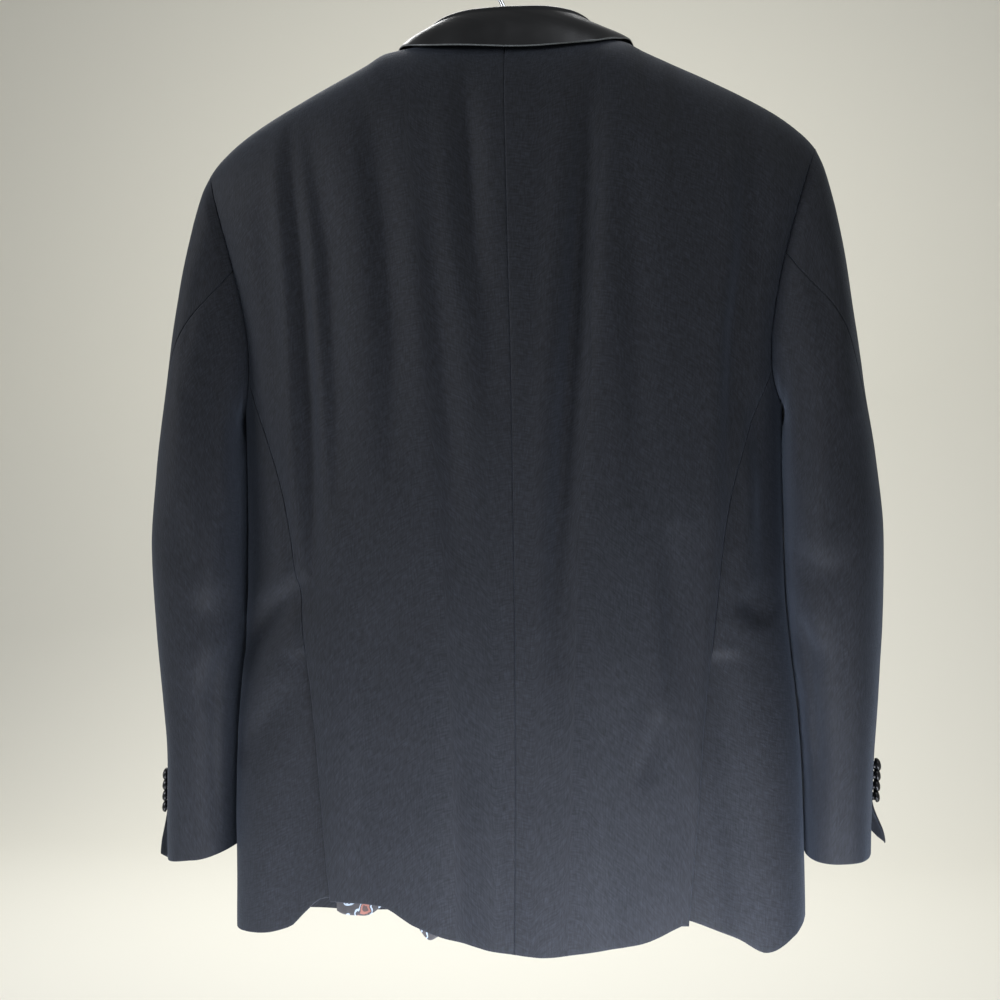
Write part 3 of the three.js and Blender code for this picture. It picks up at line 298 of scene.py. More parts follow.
# Each fold of the back: its path as (x, down), then depth, half width and the ridge beside it
BACK_FOLDS = [
    (((176, 158), (168, 274), (162, 398), (160, 500), (158, 590)), 9.8, 5.8, 0.23),
    (((160, 160), (143, 276), (137, 400), (136, 500)), 7.4, 6.8, 0.16),
    (((108, 150), (95, 254), (88, 344), (90, 470)), 6.2, 7.6, 0.14),
    (((30, 118), (25, 224), (18, 318)), 7.1, 6.6, 0.18),
    (((18, 276), (8, 350), (8, 420)), 3.1, 7.0, 0.14),
    (((58, 240), (50, 330), (43, 430), (42, 560)), 4.9, 6.4, 0.14),
    (((-76, 110), (-70, 200), (-65, 270), (-60, 340), (-53, 420), (-47, 510), (-40, 630)), 11.5, 7.4, 0.18),
    (((-106, 180), (-107, 300), (-109, 420), (-106, 500)), 4.5, 7.6, 0.14),
    (((-200, 150), (-197, 286), (-189, 350), (-180, 530)), 6.6, 6.6, 0.2),
    (((-144, 110), (-143, 235)), 3.6, 6.8, 0.14),
    (((-122, 110), (-122, 190)), 2.2, 6.0, 0.14),
    (((-138, 500), (-136, 660)), 4.9, 8.0, 0.14),
    (((-126, 652), (-108, 712)), 2.5, 5.2, 0.23),
    (((-134, 640), (-127, 780)), 2.2, 8.6, 0.14),
    (((40, 585), (36, 700), (34, 900)), 4.5, 9.6, 0.14),
    (((8, 640), (-4, 900)), 3.1, 9.0, 0.14),
    (((-84, 640), (-88, 900)), 3.1, 9.6, 0.14),
    (((112, 560), (118, 900)), 3.2, 12.0, 0.11),
    (((202, 230), (191, 320), (181, 400)), 2.5, 7.6, 0.18),
    (((160, 545), (200, 575), (236, 616)), 9.0, 8.0, 0.23),
    (((180, 630), (206, 668), (232, 706)), 5.4, 8.0, 0.18),
    (((176, 650), (182, 900)), 5.2, 12.4, 0.11),
    (((-180, 600), (-187, 900)), 5.2, 11.4, 0.14),
    (((-204, 390), (-213, 470), (-212, 570)), 6.6, 8.0, 0.23),
    (((-190, 560), (-216, 584)), 4.5, 7.6, 0.23),
]
# The side seams hold the cloth in along this line
HELD_IN = ((212, 390), (200, 430), (186.5, 474), (177, 525), (170.5, 580), (161, 659), (155, 760))
BACK_FOLDS.append((HELD_IN, 3.2, 4.6, 0.09))
BACK_FOLDS.append(([(-out, down) for out, down in HELD_IN], 2.2, 4.2, 0.09))
# The same for the fronts
FRONT_FOLDS = [
    (((150, 330), (132, 430), (120, 560)), 3.2, 15.0, 0.3),
    (((92, 560), (94, 700), (96, 900)), 2.8, 15.0, 0.3),
    (((168, 560), (160, 900)), 3.6, 16.0, 0.3),
    (((16, 548), (60, 572), (96, 604)), 2.4, 9.0, 0.4),
    (((14, 540), (70, 520), (120, 486)), 1.6, 9.0, 0.4),
    (((-146, 350), (-132, 470), (-124, 580)), 3.0, 15.0, 0.3),
    (((-80, 600), (-88, 900)), 3.0, 15.0, 0.3),
    (((-150, 590), (-160, 900)), 3.2, 15.0, 0.3),
    (((-30, 552), (-70, 574), (-100, 604)), 2.2, 9.0, 0.4),
    (((196, 240), (180, 300), (172, 380)), 2.4, 12.0, 0.3),
    (((-198, 236), (-184, 300), (-178, 372)), 2.6, 12.0, 0.3),
    (((210, 640), (196, 760)), 2.2, 12.0, 0.3),
]
body_width = curve(BODY, "down", "width")
body_back = curve(BODY, "down", "back")
body_front = curve(BODY, "down", "front")
ridge_down = curve(RIDGE, "out", "down")
back_edge = curve(BACK_EDGE, "down", "out")
centre_seam = curve(CENTRE_SEAM, "down", "x")
back_hem = curve(BACK_HEM, "x", "down")


def arch_share(below):
    """How far the cloth stands from the shoulder line at a distance below it, from 0 to 1."""
    upright_share = np.clip(1 - below / ARCH, 0, 1) ** (ARCH_POWER / 2)
    return (1 - upright_share**2) ** (1 / ARCH_POWER)


def dress(face, x, y, down, bulge):
    """A point of the body's plan section, with the folds, the bulge and the shoulder's rounding."""
    width = body_width(down)
    depth = body_back(down) if face > 0 else body_front(down)
    nx = power(x / width, PLAN_POWER - 1) / width
    ny = (y / depth) ** (PLAN_POWER - 1) / depth
    length = np.maximum(np.hypot(nx, ny), 1e-9)
    sink = folds(BACK_FOLDS if face > 0 else FRONT_FOLDS, x, down)
    uneven = 0.5 * rumple(x, down, 46) + 0.22 * rumple(x + 300, down, 19)
    shift = bulge - sink * (ny / length) + uneven * smooth(140, 200, down)
    arch = arch_share(down - ridge_down(np.abs(x)))
    return np.stack([x + shift * nx / length, face * (y + shift * ny / length) * arch, -down], axis=-1)


def body_point(face, x, down, bulge=0.0):
    """The body's outer surface at a signed x: face is 1 for the back and -1 for the front."""
    x, down, bulge = np.broadcast_arrays(x, down, bulge)
    share = np.minimum(np.abs(x) / body_width(down), 0.9999)
    depth = body_back(down) if face > 0 else body_front(down)
    y = depth * (1 - share**PLAN_POWER) ** (1 / PLAN_POWER)
    return dress(face, np.sign(x) * share * body_width(down), y, down, bulge)


def arch_below(turn):
    return ARCH * (1 - np.cos(math.pi / 2 * turn) ** (2 / ARCH_POWER))


def panel_place(inner, outer, hem, level, start, s, t):
    """A place on a front or back panel: s runs across it and t from its top edge to its hem."""
    below = arch_below(mix(start(s), 1, np.minimum(t / SHOULDER_T, 1)))
    x = mix(inner(200), outer(200), s) + 0 * t
    for _ in range(8):
        down = ridge_down(np.abs(x)) + below
        x = mix(inner(down), outer(down), s)
    foot = np.full(x.shape, 840.0)
    for _ in range(12):
        foot = hem(mix(inner(foot), outer(foot), s))
    chest = mix(down, level, np.clip((t - SHOULDER_T) / (SCYE_T - SHOULDER_T), 0, 1))
    down = np.where(t <= SCYE_T, chest, mix(level, foot, (t - SCYE_T) / (1 - SCYE_T)))
    return np.where(t <= SHOULDER_T, x, mix(inner(down), outer(down), s)), down


def edged_steps(count, length, first=True, last=True):
    """Even steps from 0 to 1 with extra ones beside the edges, where the cloth turns in."""
    close = np.array([0.15, 0.4, 0.8, 1.4, 2.4, 4.0]) / length
    inside = np.linspace(0, 1, count + 1)
    low = close[-1] * 1.3 if first else -1
    high = 1 - close[-1] * 1.3 if last else 2
    kept = inside[(inside > low) & (inside < high)]
    begins = np.concatenate(([0.0], close)) if first else []
    ends = np.concatenate((1 - close[::-1], [1.0])) if last else []
    return np.concatenate((begins, kept, ends))


# How much of the cloth's thickness an edge rolls in, and how far from it the puckers reach in mm
ROLLED_SHARE, PUCKER_REACH = 0.6, 4.5


def cloth(
    name, grid, facing, thickness, materials, turned=(1.2, 1.2, 1.0, 1.0), facing_cloth=0.0, pucker=0.35,
):
    """A closed shell of cloth from a grid of points in mm: outside, inside and turned edges.

    turned gives the radius at which each edge rolls in: first and last column, first and last row.
    Inner faces nearer the last row than facing_cloth have the outer cloth, as it's turned up there.
    """
    grid = np.asarray(grid, float)
    rows, cols = grid.shape[:2]
    normal = unit(np.cross(np.gradient(grid, axis=1), np.gradient(grid, axis=0))) * facing
    across = np.cumsum(np.linalg.norm(np.diff(grid, axis=1, prepend=grid[:, :1]), axis=-1), axis=1)
    along = np.cumsum(np.linalg.norm(np.diff(grid, axis=0, prepend=grid[:1]), axis=-1), axis=0)
    away = (across, across[:, -1:] - across, along, along[-1:] - along)
    run = (along, along, across, across)
    lowered = np.zeros((rows, cols))
    for wanted, distance, place in zip(turned, away, run):
        if wanted:
            turn = np.clip(1 - distance / wanted, 0, 1)
            lowered = np.maximum(lowered, ROLLED_SHARE * thickness * (1 - np.sqrt(1 - turn**2)))
            near = np.exp(-distance / PUCKER_REACH)
            ripple = 0.5 + 0.3 * np.sin(place / 2.3 + 2 * np.sin(place / 17)) + 0.2 * np.sin(place / 5.1)
            lowered = lowered + pucker * near * ripple
    outer = grid - normal * lowered[..., None]
    inner = grid - normal * (thickness * (1 - 0.25 * (lowered > 0.2))[..., None])
    middle = across[:, cols // 2][:, None]
    flat = np.stack([facing * (across - middle), -along], axis=-1).reshape(-1, 2) * 0.001
    index = np.arange(rows * cols).reshape(rows, cols)
    other = index + rows * cols
    quads = np.stack([index[:-1, :-1], index[:-1, 1:], index[1:, 1:], index[1:, :-1]], -1).reshape(-1, 4)
    under = np.stack([other[:-1, :-1], other[1:, :-1], other[1:, 1:], other[:-1, 1:]], -1).reshape(-1, 4)
    loop = np.concatenate((index[0], index[1:, -1], index[-1, :-1][::-1], index[1:-1, 0][::-1]))
    after = np.roll(loop, -1)
    rim = np.stack([loop, loop + rows * cols, after + rows * cols, after], -1)
    faces = np.concatenate((quads, under, rim))
    if facing < 0:
        faces = faces[:, ::-1]
    points = np.concatenate((outer.reshape(-1, 3), inner.reshape(-1, 3))) * 0.001
    turned_up = (along[-1:] - along)[:-1, :-1].ravel() < facing_cloth
    indices = np.concatenate((np.zeros(len(quads)), np.where(turned_up, 0, 1), np.zeros(len(rim))))
    made = mesh_object(name, points, faces, materials, np.concatenate((flat, flat)), indices)
    triangle = points[faces[:, :3]]
    other_half = points[faces[:, [0, 2, 3]]]
    volume = 0
    for part in (triangle, other_half):
        volume += np.einsum("ij,ij->i", part[:, 0], np.cross(part[:, 1], part[:, 2])).sum()
    if volume < 0:
        made.data.flip_normals()
    return made


def stand_for(made, piece):
    """Hides a CAD piece and puts a mesh in its place, on the part's one body."""
    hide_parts(piece)
    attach(made, "root")


# Black worsted: matt, a fine diagonal twill, slubs a millimetre or two long, and a greyish bloom where
# the fibre ends catch the light from the side.
wool = material("worsted_wool", "#15181f", 0.7, Sheen_Weight=0.2, Sheen_Roughness=0.5)
shader = wool.node_tree.nodes["Principled BSDF"]
shader.inputs["Sheen Tint"].default_value = (*linear("#98a5ba"), 1)
shader.inputs["Specular IOR Level"].default_value = 0.22
place = node(wool, "UVMap").outputs["UV"]
twill = node(wool, "TexWave", {"Scale": 520.0, "Distortion": 0.6, "Detail": 1.0}, {"Vector": place})
twill.bands_direction = "DIAGONAL"
warp_place = node(wool, "Mapping", {"Scale": (1.0, 0.16, 1.0)}, {"Vector": place})
weft_place = node(wool, "Mapping", {"Scale": (0.2, 1.0, 1.0)}, {"Vector": place})
warp = noise(wool, warp_place.outputs[0], 820.0, 2.0)
weft = noise(wool, weft_place.outputs[0], 700.0, 2.0)
threads = node(wool, "Math", {}, {0: warp, 1: weft}, operation="MULTIPLY")
broad = noise(wool, place, 14.0, 4.0, Roughness=0.6)
shade = node(wool, "MapRange", {1: 0.1, 2: 0.42, 3: 0.3, 4: 1.75}, {0: threads.outputs[0]})
shade_broad = node(wool, "MapRange", {3: 0.8, 4: 1.22}, {0: broad})
both = node(wool, "Math", {}, {0: shade.outputs[0], 1: shade_broad.outputs[0]}, operation="MULTIPLY")
toned(wool, "#15171c", both.outputs[0])
bump_threads = bumped(wool, threads.outputs[0], 0.9, 0.0003)
bumped(wool, twill.outputs["Fac"], 0.5, 0.00010, bump_threads)

# Printed lining: smooth viscose twill, almost black, with scattered drop shapes in pale blue-grey and
# rust about 14 mm long.
lining = material("printed_lining", "#191518", 0.42, Sheen_Weight=0.15)
place = node(lining, "UVMap").outputs["UV"]
wander = node(lining, "TexNoise", {"Scale": 90.0, "Detail": 2.0}, {"Vector": place})
bent = node(
    lining, "VectorMath", {"Scale": 0.010}, {0: wander.outputs["Color"]}, operation="SCALE",
)
moved = node(lining, "VectorMath", {}, {0: place, 1: bent.outputs[0]}, operation="ADD")
squeezed = node(lining, "Mapping", {"Scale": (1.0, 0.62, 1.0)}, {"Vector": moved.outputs[0]})
drops = node(lining, "TexVoronoi", {"Scale": 74.0, "Randomness": 0.8}, {"Vector": squeezed.outputs[0]})
rings = node(lining, "ValToRGB", {}, {"Fac": drops.outputs["Distance"]})
rings.color_ramp.interpolation = "CONSTANT"
stops = (
    (0.0, "#9b8f8c"), (0.09, "#3a2320"), (0.2, "#7c4a3d"), (0.3, "#20181c"), (0.36, "#8b97a3"),
    (0.43, "#191518"),
)
while len(rings.color_ramp.elements) < len(stops):
    rings.color_ramp.elements.new(0.5)
for element, (at, colour) in zip(rings.color_ramp.elements, stops):
    element.position = at
    element.color = (*linear(colour), 1)
feed(lining, "Base Color", rings.outputs["Color"])
threads = node(lining, "TexWave", {"Scale": 800.0, "Distortion": 0.3}, {"Vector": place})
bumped(lining, threads.outputs["Fac"], 0.35, 0.00006)


def neck_start(s):
    """Where the back's top edge begins on the shoulder's rounding, as the neck hole cuts into it."""
    out = np.abs(s) * SHOULDER_OUT
    stands_back = (NECK_BACK - NECK_HIDDEN) * np.sqrt(np.maximum(1 - (out / NECK_OUT) ** 2, 0))
    whole = body_point(1, np.asarray(out, float), np.full(np.shape(out), 200.0))[..., 1]
    return np.arcsin(np.minimum(stands_back / whole, 1) ** (ARCH_POWER / 2)) / (math.pi / 2)


# The wearer's sides with the sign of their x, and the thickness of the wool in mm
SIDES, wool_cloth = (("left", 1), ("right", -1)), 1.7
for label, sign in SIDES:
    s = edged_steps(96, 220)[None, :]
    t = edged_steps(230, 800)[:, None]
    x, down = panel_place(
        lambda down: sign * centre_seam(down), back_edge, lambda out: back_hem(sign * out),
        BACK_SCYE_DOWN, neck_start, s, t,
    )
    made = cloth(
        "back_%s_cloth" % label, body_point(1, sign * x, down), sign, wool_cloth, [wool, lining],
        turned=(1.3, 1.3, 0.8, 1.0), facing_cloth=38.0,
    )
    stand_for(made, "back_" + label)


# The side panels
# One narrow length of the same wool under each arm, from the back's side seam round to the front. From
# the vent's top down its back edge lies under the back as a 20 mm underlap.
VENT_SINKS_DOWN, VENT_LAPS_DOWN, VENT_UNDERLAP, CLOTH = (602, 614), (608, 624), 20, 2.0
FRONT_EDGE = {
    "down": [92, 193, 215, 240, 272, 300, 330, 360, 384, 430, 500, 600, 700, 900],
    "out": [257, 257, 246, 234, 222, 214, 209, 209, 213, 205, 198, 196, 202, 210],
}
SIDE_HEM = {
    "across": [0, 0.08, 0.14, 0.19, 0.3, 0.45, 0.6, 1],
    "left": [806, 810, 824, 836, 843, 846, 848, 853],
    "right": [813, 822, 829, 835, 848, 838, 829, 853],
}
front_edge = curve(FRONT_EDGE, "down", "out")
side_hem = {label: curve(SIDE_HEM, "across", label) for label in ("left", "right")}


def side_point(sign, degrees, down, bulge=0.0):
    """The surface at an angle round the side: 0 at the centre back, 90 at the side, 180 in front."""
    degrees, down, bulge = np.broadcast_arrays(degrees, down, bulge)
    angle = np.radians(degrees)
    x = sign * body_width(down) * np.sin(angle) ** (2 / PLAN_POWER)
    flat_share = np.abs(np.cos(angle)) ** (2 / PLAN_POWER)
    behind = dress(1, x, body_back(down) * flat_share, down, bulge)
    before = dress(-1, x, body_front(down) * flat_share, down, bulge)
    return np.where((degrees <= 90)[..., None], behind, before)


def angle_at(out, down):
    share = np.minimum(out / body_width(down), 0.9999)
    return np.degrees(np.arcsin(share ** (PLAN_POWER / 2)))


def side_place(label, across, t):
    top = mix(BACK_SCYE_DOWN, FRONT_SCYE_DOWN, across)
    hollow = UNDERARM_DOWN - (BACK_SCYE_DOWN + FRONT_SCYE_DOWN) / 2
    top = top + hollow * np.sin(math.pi * np.clip(across, 0, 1)) ** 0.75
    return mix(top, side_hem[label](across), t)


for label, sign in SIDES:
    s = edged_steps(56, 170)[None, :]
    t = edged_steps(130, 450)[:, None]
    down = side_place(label, s, t)
    seam = back_edge(down)
    sinks = smooth(VENT_SINKS_DOWN[0], VENT_SINKS_DOWN[1], down)
    laps = smooth(VENT_LAPS_DOWN[0], VENT_LAPS_DOWN[1], down)
    begin = angle_at(seam - VENT_UNDERLAP * laps, down)
    degrees = mix(begin, 180 - angle_at(front_edge(down), down), s)
    out = np.abs(side_point(sign, degrees, down)[..., 0])
    under = np.where(degrees < 90, 1 - smooth(seam + 8, seam + 30, out), 0)
    grid = side_point(sign, degrees, down, -(CLOTH + 1) * sinks * under)
    made = cloth("side_%s_cloth" % label, grid, sign, wool_cloth, [wool, lining], facing_cloth=38.0)
    stand_for(made, "side_" + label)


# The fronts
# Each front is one piece of the same wool over canvas, from the shoulder to the hem. The left one laps
# the right one at the button, and both are cut away in a curve below it.
OVERLAP_INSET = 5.6
FRONT_OPENING = {
    "down": [92, 118, 140, 330, 520, 545, 610, 690, 750, 800, 832, 850, 870],
    "out": [80, 79, 75, 28, -19, -20, -18, -11, 2, 21, 42, 62, 90],
}
FRONT_HEM = {"out": [30, 62, 90, 130, 200], "down": [842, 850, 856, 857, 853]}
front_opening = curve(FRONT_OPENING, "down", "out")
front_hem = curve(FRONT_HEM, "out", "down")


def front_inset(label, x, down):
    """How far the right front lies inside the left one at the closure."""
    if label == "left":
        return 0 * x
    return OVERLAP_INSET * smooth(360, 440, down) * (1 - smooth(24, 80, x))


for label, sign in SIDES:
    s = edged_steps(84, 200)[None, :]
    t = edged_steps(200, 800)[:, None]
    x, down = panel_place(front_opening, front_edge, front_hem, FRONT_SCYE_DOWN, lambda s: 0 * s, s, t)
    grid = body_point(-1, sign * x, down, -front_inset(label, x, down))
    made = cloth(
        "front_%s_cloth" % label, grid, -sign, wool_cloth, [wool, lining], facing_cloth=38.0, pucker=0.15,
    )
    stand_for(made, "front_" + label)


# The sleeves
# Two-piece sleeves: a wide top piece and a narrower under piece, joined by the hind-arm and fore-arm
# seams and set into the armhole. At the cuff the hind-arm seam is an open vent with buttons.
SCYE_AIR, SLEEVE_AIR, SLEEVE_POWER, SLEEVE_LENGTH, SLEEVE_GIRTH = 0.1, 1.0, 2.6, 600, 1.05
# How each cuff hangs, in mm and degrees: its loose corner's flare, the hem's drop and tilt, the turn of
# the seams round the arm, and how far the outer side stands out and is lifted
CUFF = {
    "left": {"flare": 6, "drop": 6.5, "tilt": 8, "turn": 16, "out": 5.5, "lift": 0},
    "right": {"flare": 12, "drop": -2, "tilt": 0, "turn": 0, "out": -3, "lift": 28},
}
# The loose corner is lifted this much, and the rest most at a place beside the vent, in degrees
CORNER_LIFT, LIFT_PLACE, LIFT_SPREAD = 5, 14, 9
# Rows above the sleeve head that turn in under the shoulder: how far up, then how far in
HEAD_TURNED_IN = ((6, 2.7), (0.5, 2.3))
# Where the cuff's loose corner begins and ends along the sleeve, and how sharply it turns out
FLAP = {"left": (0.94, 1.0, 1.0), "right": (0.935, 1.0, 1.3)}
SLEEVE = {
    "v": [0, 0.05, 0.12, 0.2, 0.3, 0.4, 0.5, 0.6, 0.7, 0.8, 0.9, 1],
    "out_x": [257, 263, 272, 280, 287, 293.5, 301, 307, 306, 303, 300, 300],
    "out_down": [193, 208, 243, 286, 341, 398, 452, 515, 580, 641, 702, 777],
    "in_x": [226, 228, 228, 226.5, 225.5, 226, 227, 228.5, 233, 239, 242, 242.5],
    "in_down": [408, 412, 417, 426, 443, 470, 508, 556, 607, 660, 714, 781],
    "half": [46, 53, 61, 68, 73, 74, 72, 69, 66, 63, 61, 59],
    "mid": [0, 0, 1, 3, 5, 7, 8, 7, 3, -2, -7, -12],
    "hind": [82, 82, 79, 70, 54, 36, 26, 22, 20, 19, 18, 18],
    "fore": [214, 213, 211, 209, 207, 205, 205, 205, 205, 205, 205, 205],
}
# Each sleeve's folds: path as (degrees round it, share of its length), then as in the body
SLEEVE_FOLDS = {
    "left": [
        (((60, 0.04), (70, 0.2), (78, 0.34)), 3.0, 11, 0.3),
        (((100, 0.1), (112, 0.3), (118, 0.5)), 4.0, 11, 0.3),
        (((96, 0.66), (124, 0.64), (150, 0.6)), 3.6, 11, 0.3),
        (((106, 0.78), (130, 0.74), (150, 0.69)), 3.2, 11, 0.3),
        (((128, 0.7), (122, 0.99)), 3.4, 11, 0.3),
        (((84, 0.5), (92, 0.62)), 1.8, 10, 0.4),
        (((270, 0.52), (240, 0.55), (220, 0.58)), 4.2, 12, 0.3),
        (((290, 0.62), (250, 0.66), (224, 0.67)), 4.0, 12, 0.3),
        (((320, 0.1), (306, 0.3), (296, 0.5)), 3.0, 14, 0.3),
        (((20, 0.1), (28, 0.34)), 1.6, 12, 0.3),
    ],
    "right": [
        (((62, 0.05), (74, 0.18), (80, 0.3)), 2.6, 11, 0.3),
        (((104, 0.12), (114, 0.3), (120, 0.46)), 3.8, 11, 0.3),
        (((90, 0.62), (120, 0.585), (148, 0.55)), 3.8, 10, 0.3),
        (((110, 0.74), (132, 0.7), (150, 0.65)), 3.2, 11, 0.3),
        (((134, 0.66), (126, 0.96)), 4.0, 11, 0.3),
        (((70, 0.4), (84, 0.55)), 2.4, 10, 0.4),
        (((262, 0.5), (238, 0.53), (220, 0.55)), 4.2, 12, 0.3),
        (((284, 0.6), (248, 0.64), (224, 0.655)), 4.0, 12, 0.3),
        (((322, 0.12), (308, 0.3), (300, 0.48)), 3.0, 14, 0.3),
        (((24, 0.12), (30, 0.36)), 1.8, 12, 0.3),
    ],
}
SCYE_MIDDLE = (RIDGE["down"][7] + UNDERARM_DOWN) / 2
SCYE_HALF = (UNDERARM_DOWN - RIDGE["down"][7]) / 2
sleeve_column = {key: curve(SLEEVE, "v", key) for key in SLEEVE if key != "v"}


def scye_angle(down):
    return math.degrees(math.acos((SCYE_MIDDLE - down) / SCYE_HALF))


def armhole(sign, degrees):
    """The armhole's loop on the body's edges, by angle from the shoulder point round the back."""
    around = np.mod(degrees, 360)
    first, last = scye_angle(BACK_SCYE_DOWN), 360 - scye_angle(FRONT_SCYE_DOWN)
    down = SCYE_MIDDLE - SCYE_HALF * np.cos(np.radians(around))
    behind = body_point(1, sign * back_edge(down), down)
    before = body_point(-1, sign * front_edge(down), down)
    across = np.clip((around - first) / (last - first), 0, 1)
    low = side_place("left", across, 0)
    turn = mix(angle_at(back_edge(low), low), 180 - angle_at(front_edge(low), low), across)
    under = side_point(sign, turn, low)
    upper = np.where((around <= first)[..., None], behind, before)
    return np.where(((around > first) & (around < last))[..., None], under, upper)


def sleeve_frame(v):
    at = {key: column(v) for key, column in sleeve_column.items()}
    wide, tall = at["out_x"] - at["in_x"], at["in_down"] - at["out_down"]
    at["reach"] = np.hypot(wide, tall) / 2
    at["way_x"], at["way_z"] = wide / 2 / at["reach"], tall / 2 / at["reach"]
    at["x"], at["down"] = (at["out_x"] + at["in_x"]) / 2, (at["out_down"] + at["in_down"]) / 2
    return at


def body_side(y, down):
    """How far out the body's side is at a depth y and a height."""
    share = np.minimum(np.abs(y) / np.where(y > 0, body_back(down), body_front(down)), 1)
    return body_width(down) * (1 - share**PLAN_POWER) ** (1 / PLAN_POWER) * (share < 1)


def sleeve_point(label, degrees, v):
    sign = 1 if label == "left" else -1
    degrees, v = np.broadcast_arrays(np.asarray(degrees, float), np.asarray(v, float))
    at, top = sleeve_frame(v), sleeve_frame(np.float64(0))
    angle = np.radians(degrees)
    edge = armhole(sign, degrees)
    ex, ez = sign * edge[..., 0] + SCYE_AIR - top["x"], edge[..., 2] + top["down"]
    cut = {
        "a": (ex * top["way_x"] + ez * top["way_z"]) / top["reach"],
        "b": edge[..., 1] / top["half"],
        "n": ex * top["way_z"] - ez * top["way_x"],
    }
    share = smooth(0, 0.3, v)
    a = mix(cut["a"], power(np.cos(angle), 2 / SLEEVE_POWER), share)
    b = mix(cut["b"], power(np.sin(angle), 2 / SLEEVE_POWER), share)
    n = mix(cut["n"], 0, share)
    scaled = [
        ([(g * SLEEVE_GIRTH, w * SLEEVE_LENGTH) for g, w in path], depth, width, ridge)
        for path, depth, width, ridge in SLEEVE_FOLDS[label]
    ]
    girth, length = np.mod(degrees, 360) * SLEEVE_GIRTH, v * SLEEVE_LENGTH
    uneven = 0.6 * rumple(60 * np.cos(angle) + 90 * sign, 60 * np.sin(angle) + length, 34)
    sink = (folds(scaled, girth, length) - uneven) * smooth(0, 0.06, v)
    span = 1 - sink / np.hypot(at["reach"] * a, at["half"] * b)
    a = at["reach"] * a * span
    y = at["mid"] + at["half"] * b * span
    down = at["down"] - at["way_z"] * a + at["way_x"] * n + CUFF[label]["drop"] * smooth(0.3, 1, v)
    down = down + CUFF[label]["tilt"] * np.cos(angle) * smooth(0.8, 1, v)
    clear = (body_side(y, down) + SLEEVE_AIR) * smooth(0.08, 0.2, v)
    x = np.maximum(at["x"] + at["way_x"] * a + at["way_z"] * n, clear)
    x = x + CUFF[label]["out"] * np.maximum(np.cos(angle), 0) * smooth(0.84, 1, v)
    return np.stack([sign * x, y, -down], axis=-1)


def sleeve_outwards(label, degrees, v):
    around = sleeve_point(label, degrees + 2, v) - sleeve_point(label, degrees - 2, v)
    level = np.stack([around[..., 1], -around[..., 0], 0 * around[..., 0]], axis=-1)
    return unit(level) * (1 if label == "left" else -1)


def hind_seam(label, v):
    return sleeve_column["hind"](v) + CUFF[label]["turn"] * smooth(0.3, 0.8, v)


def fore_seam(label, v):
    return sleeve_column["fore"](v) + CUFF[label]["turn"] * smooth(0.3, 0.8, v)


# Sleeve lining: plain black viscose with a soft shine.
sleeve_lining = material("sleeve_lining", "#1c1d21", 0.38, Sheen_Weight=0.1)
place = node(sleeve_lining, "UVMap").outputs["UV"]
threads = node(sleeve_lining, "TexWave", {"Scale": 800.0, "Distortion": 0.3}, {"Vector": place})
bumped(sleeve_lining, threads.outputs["Fac"], 0.35, 0.00006)

for label, sign in SIDES:
    for part, count, width in (("top", 76, 260), ("under", 56, 150)):
        s = edged_steps(count, width)[None, :]
        v = edged_steps(190, 600)[:, None]
        if part == "top":
            degrees = mix(fore_seam(label, v) - 360, hind_seam(label, v), s)
        else:
            degrees = mix(hind_seam(label, v), fore_seam(label, v), s)
        grid = sleeve_point(label, degrees, v)
        if part == "top":
            near_vent = smooth(-10, 0, degrees - hind_seam(label, v))
            opens, opened, sharp = FLAP[label]
            flare = CUFF[label]["flare"] * (near_vent * smooth(opens, opened, v)) ** sharp
            grid = grid + sleeve_outwards(label, degrees, v) * flare[..., None]
            from_lift = degrees - hind_seam(label, v) + LIFT_PLACE
            beside = np.exp(-((from_lift / LIFT_SPREAD) ** 2)) * CUFF[label]["lift"]
            raised = (CORNER_LIFT * near_vent + beside) * smooth(0.92, 1, v)
            grid = grid + np.array([0, 0, 1.0]) * raised[..., None]
        round_it = np.gradient(grid, axis=1)[0]
        inwards = unit(np.cross(round_it, grid[4] - grid[0])) * sign
        upwards = unit(grid[0] - grid[4])
        turned_in = [grid[0] + upwards * up + inwards * inside for up, inside in HEAD_TURNED_IN]
        grid = np.concatenate((np.stack(turned_in), grid))
        made = cloth(
            "sleeve_%s_%s_cloth" % (part, label), grid, -sign, wool_cloth, [wool, sleeve_lining],
            turned=(1.2, 1.2, 0, 1.0), facing_cloth=36.0, pucker=0.15,
        )
        stand_for(made, "sleeve_%s_%s" % (part, label))


# The collar
# One folded band of black satin over canvas: the stand rises inside the neck and the fall lies outside
# on the backs. Along its turned edge a narrow grey satin band is a painted highlight: a fine pale line.
GORGE_END = np.array([105.5, -69.5, -163.0])
COLLAR_CLOTH, COLLAR_FOLD, COLLAR_LEAN, COLLAR_ROUND, LAID_ON = 1.8, 3.2, -4.5, 3.0, 0.5
COLLAR_END_FOLD, STAND_INSIDE, STAND_SHARE, TURNED_FACES = 1.9, 2.8, 0.9, 2
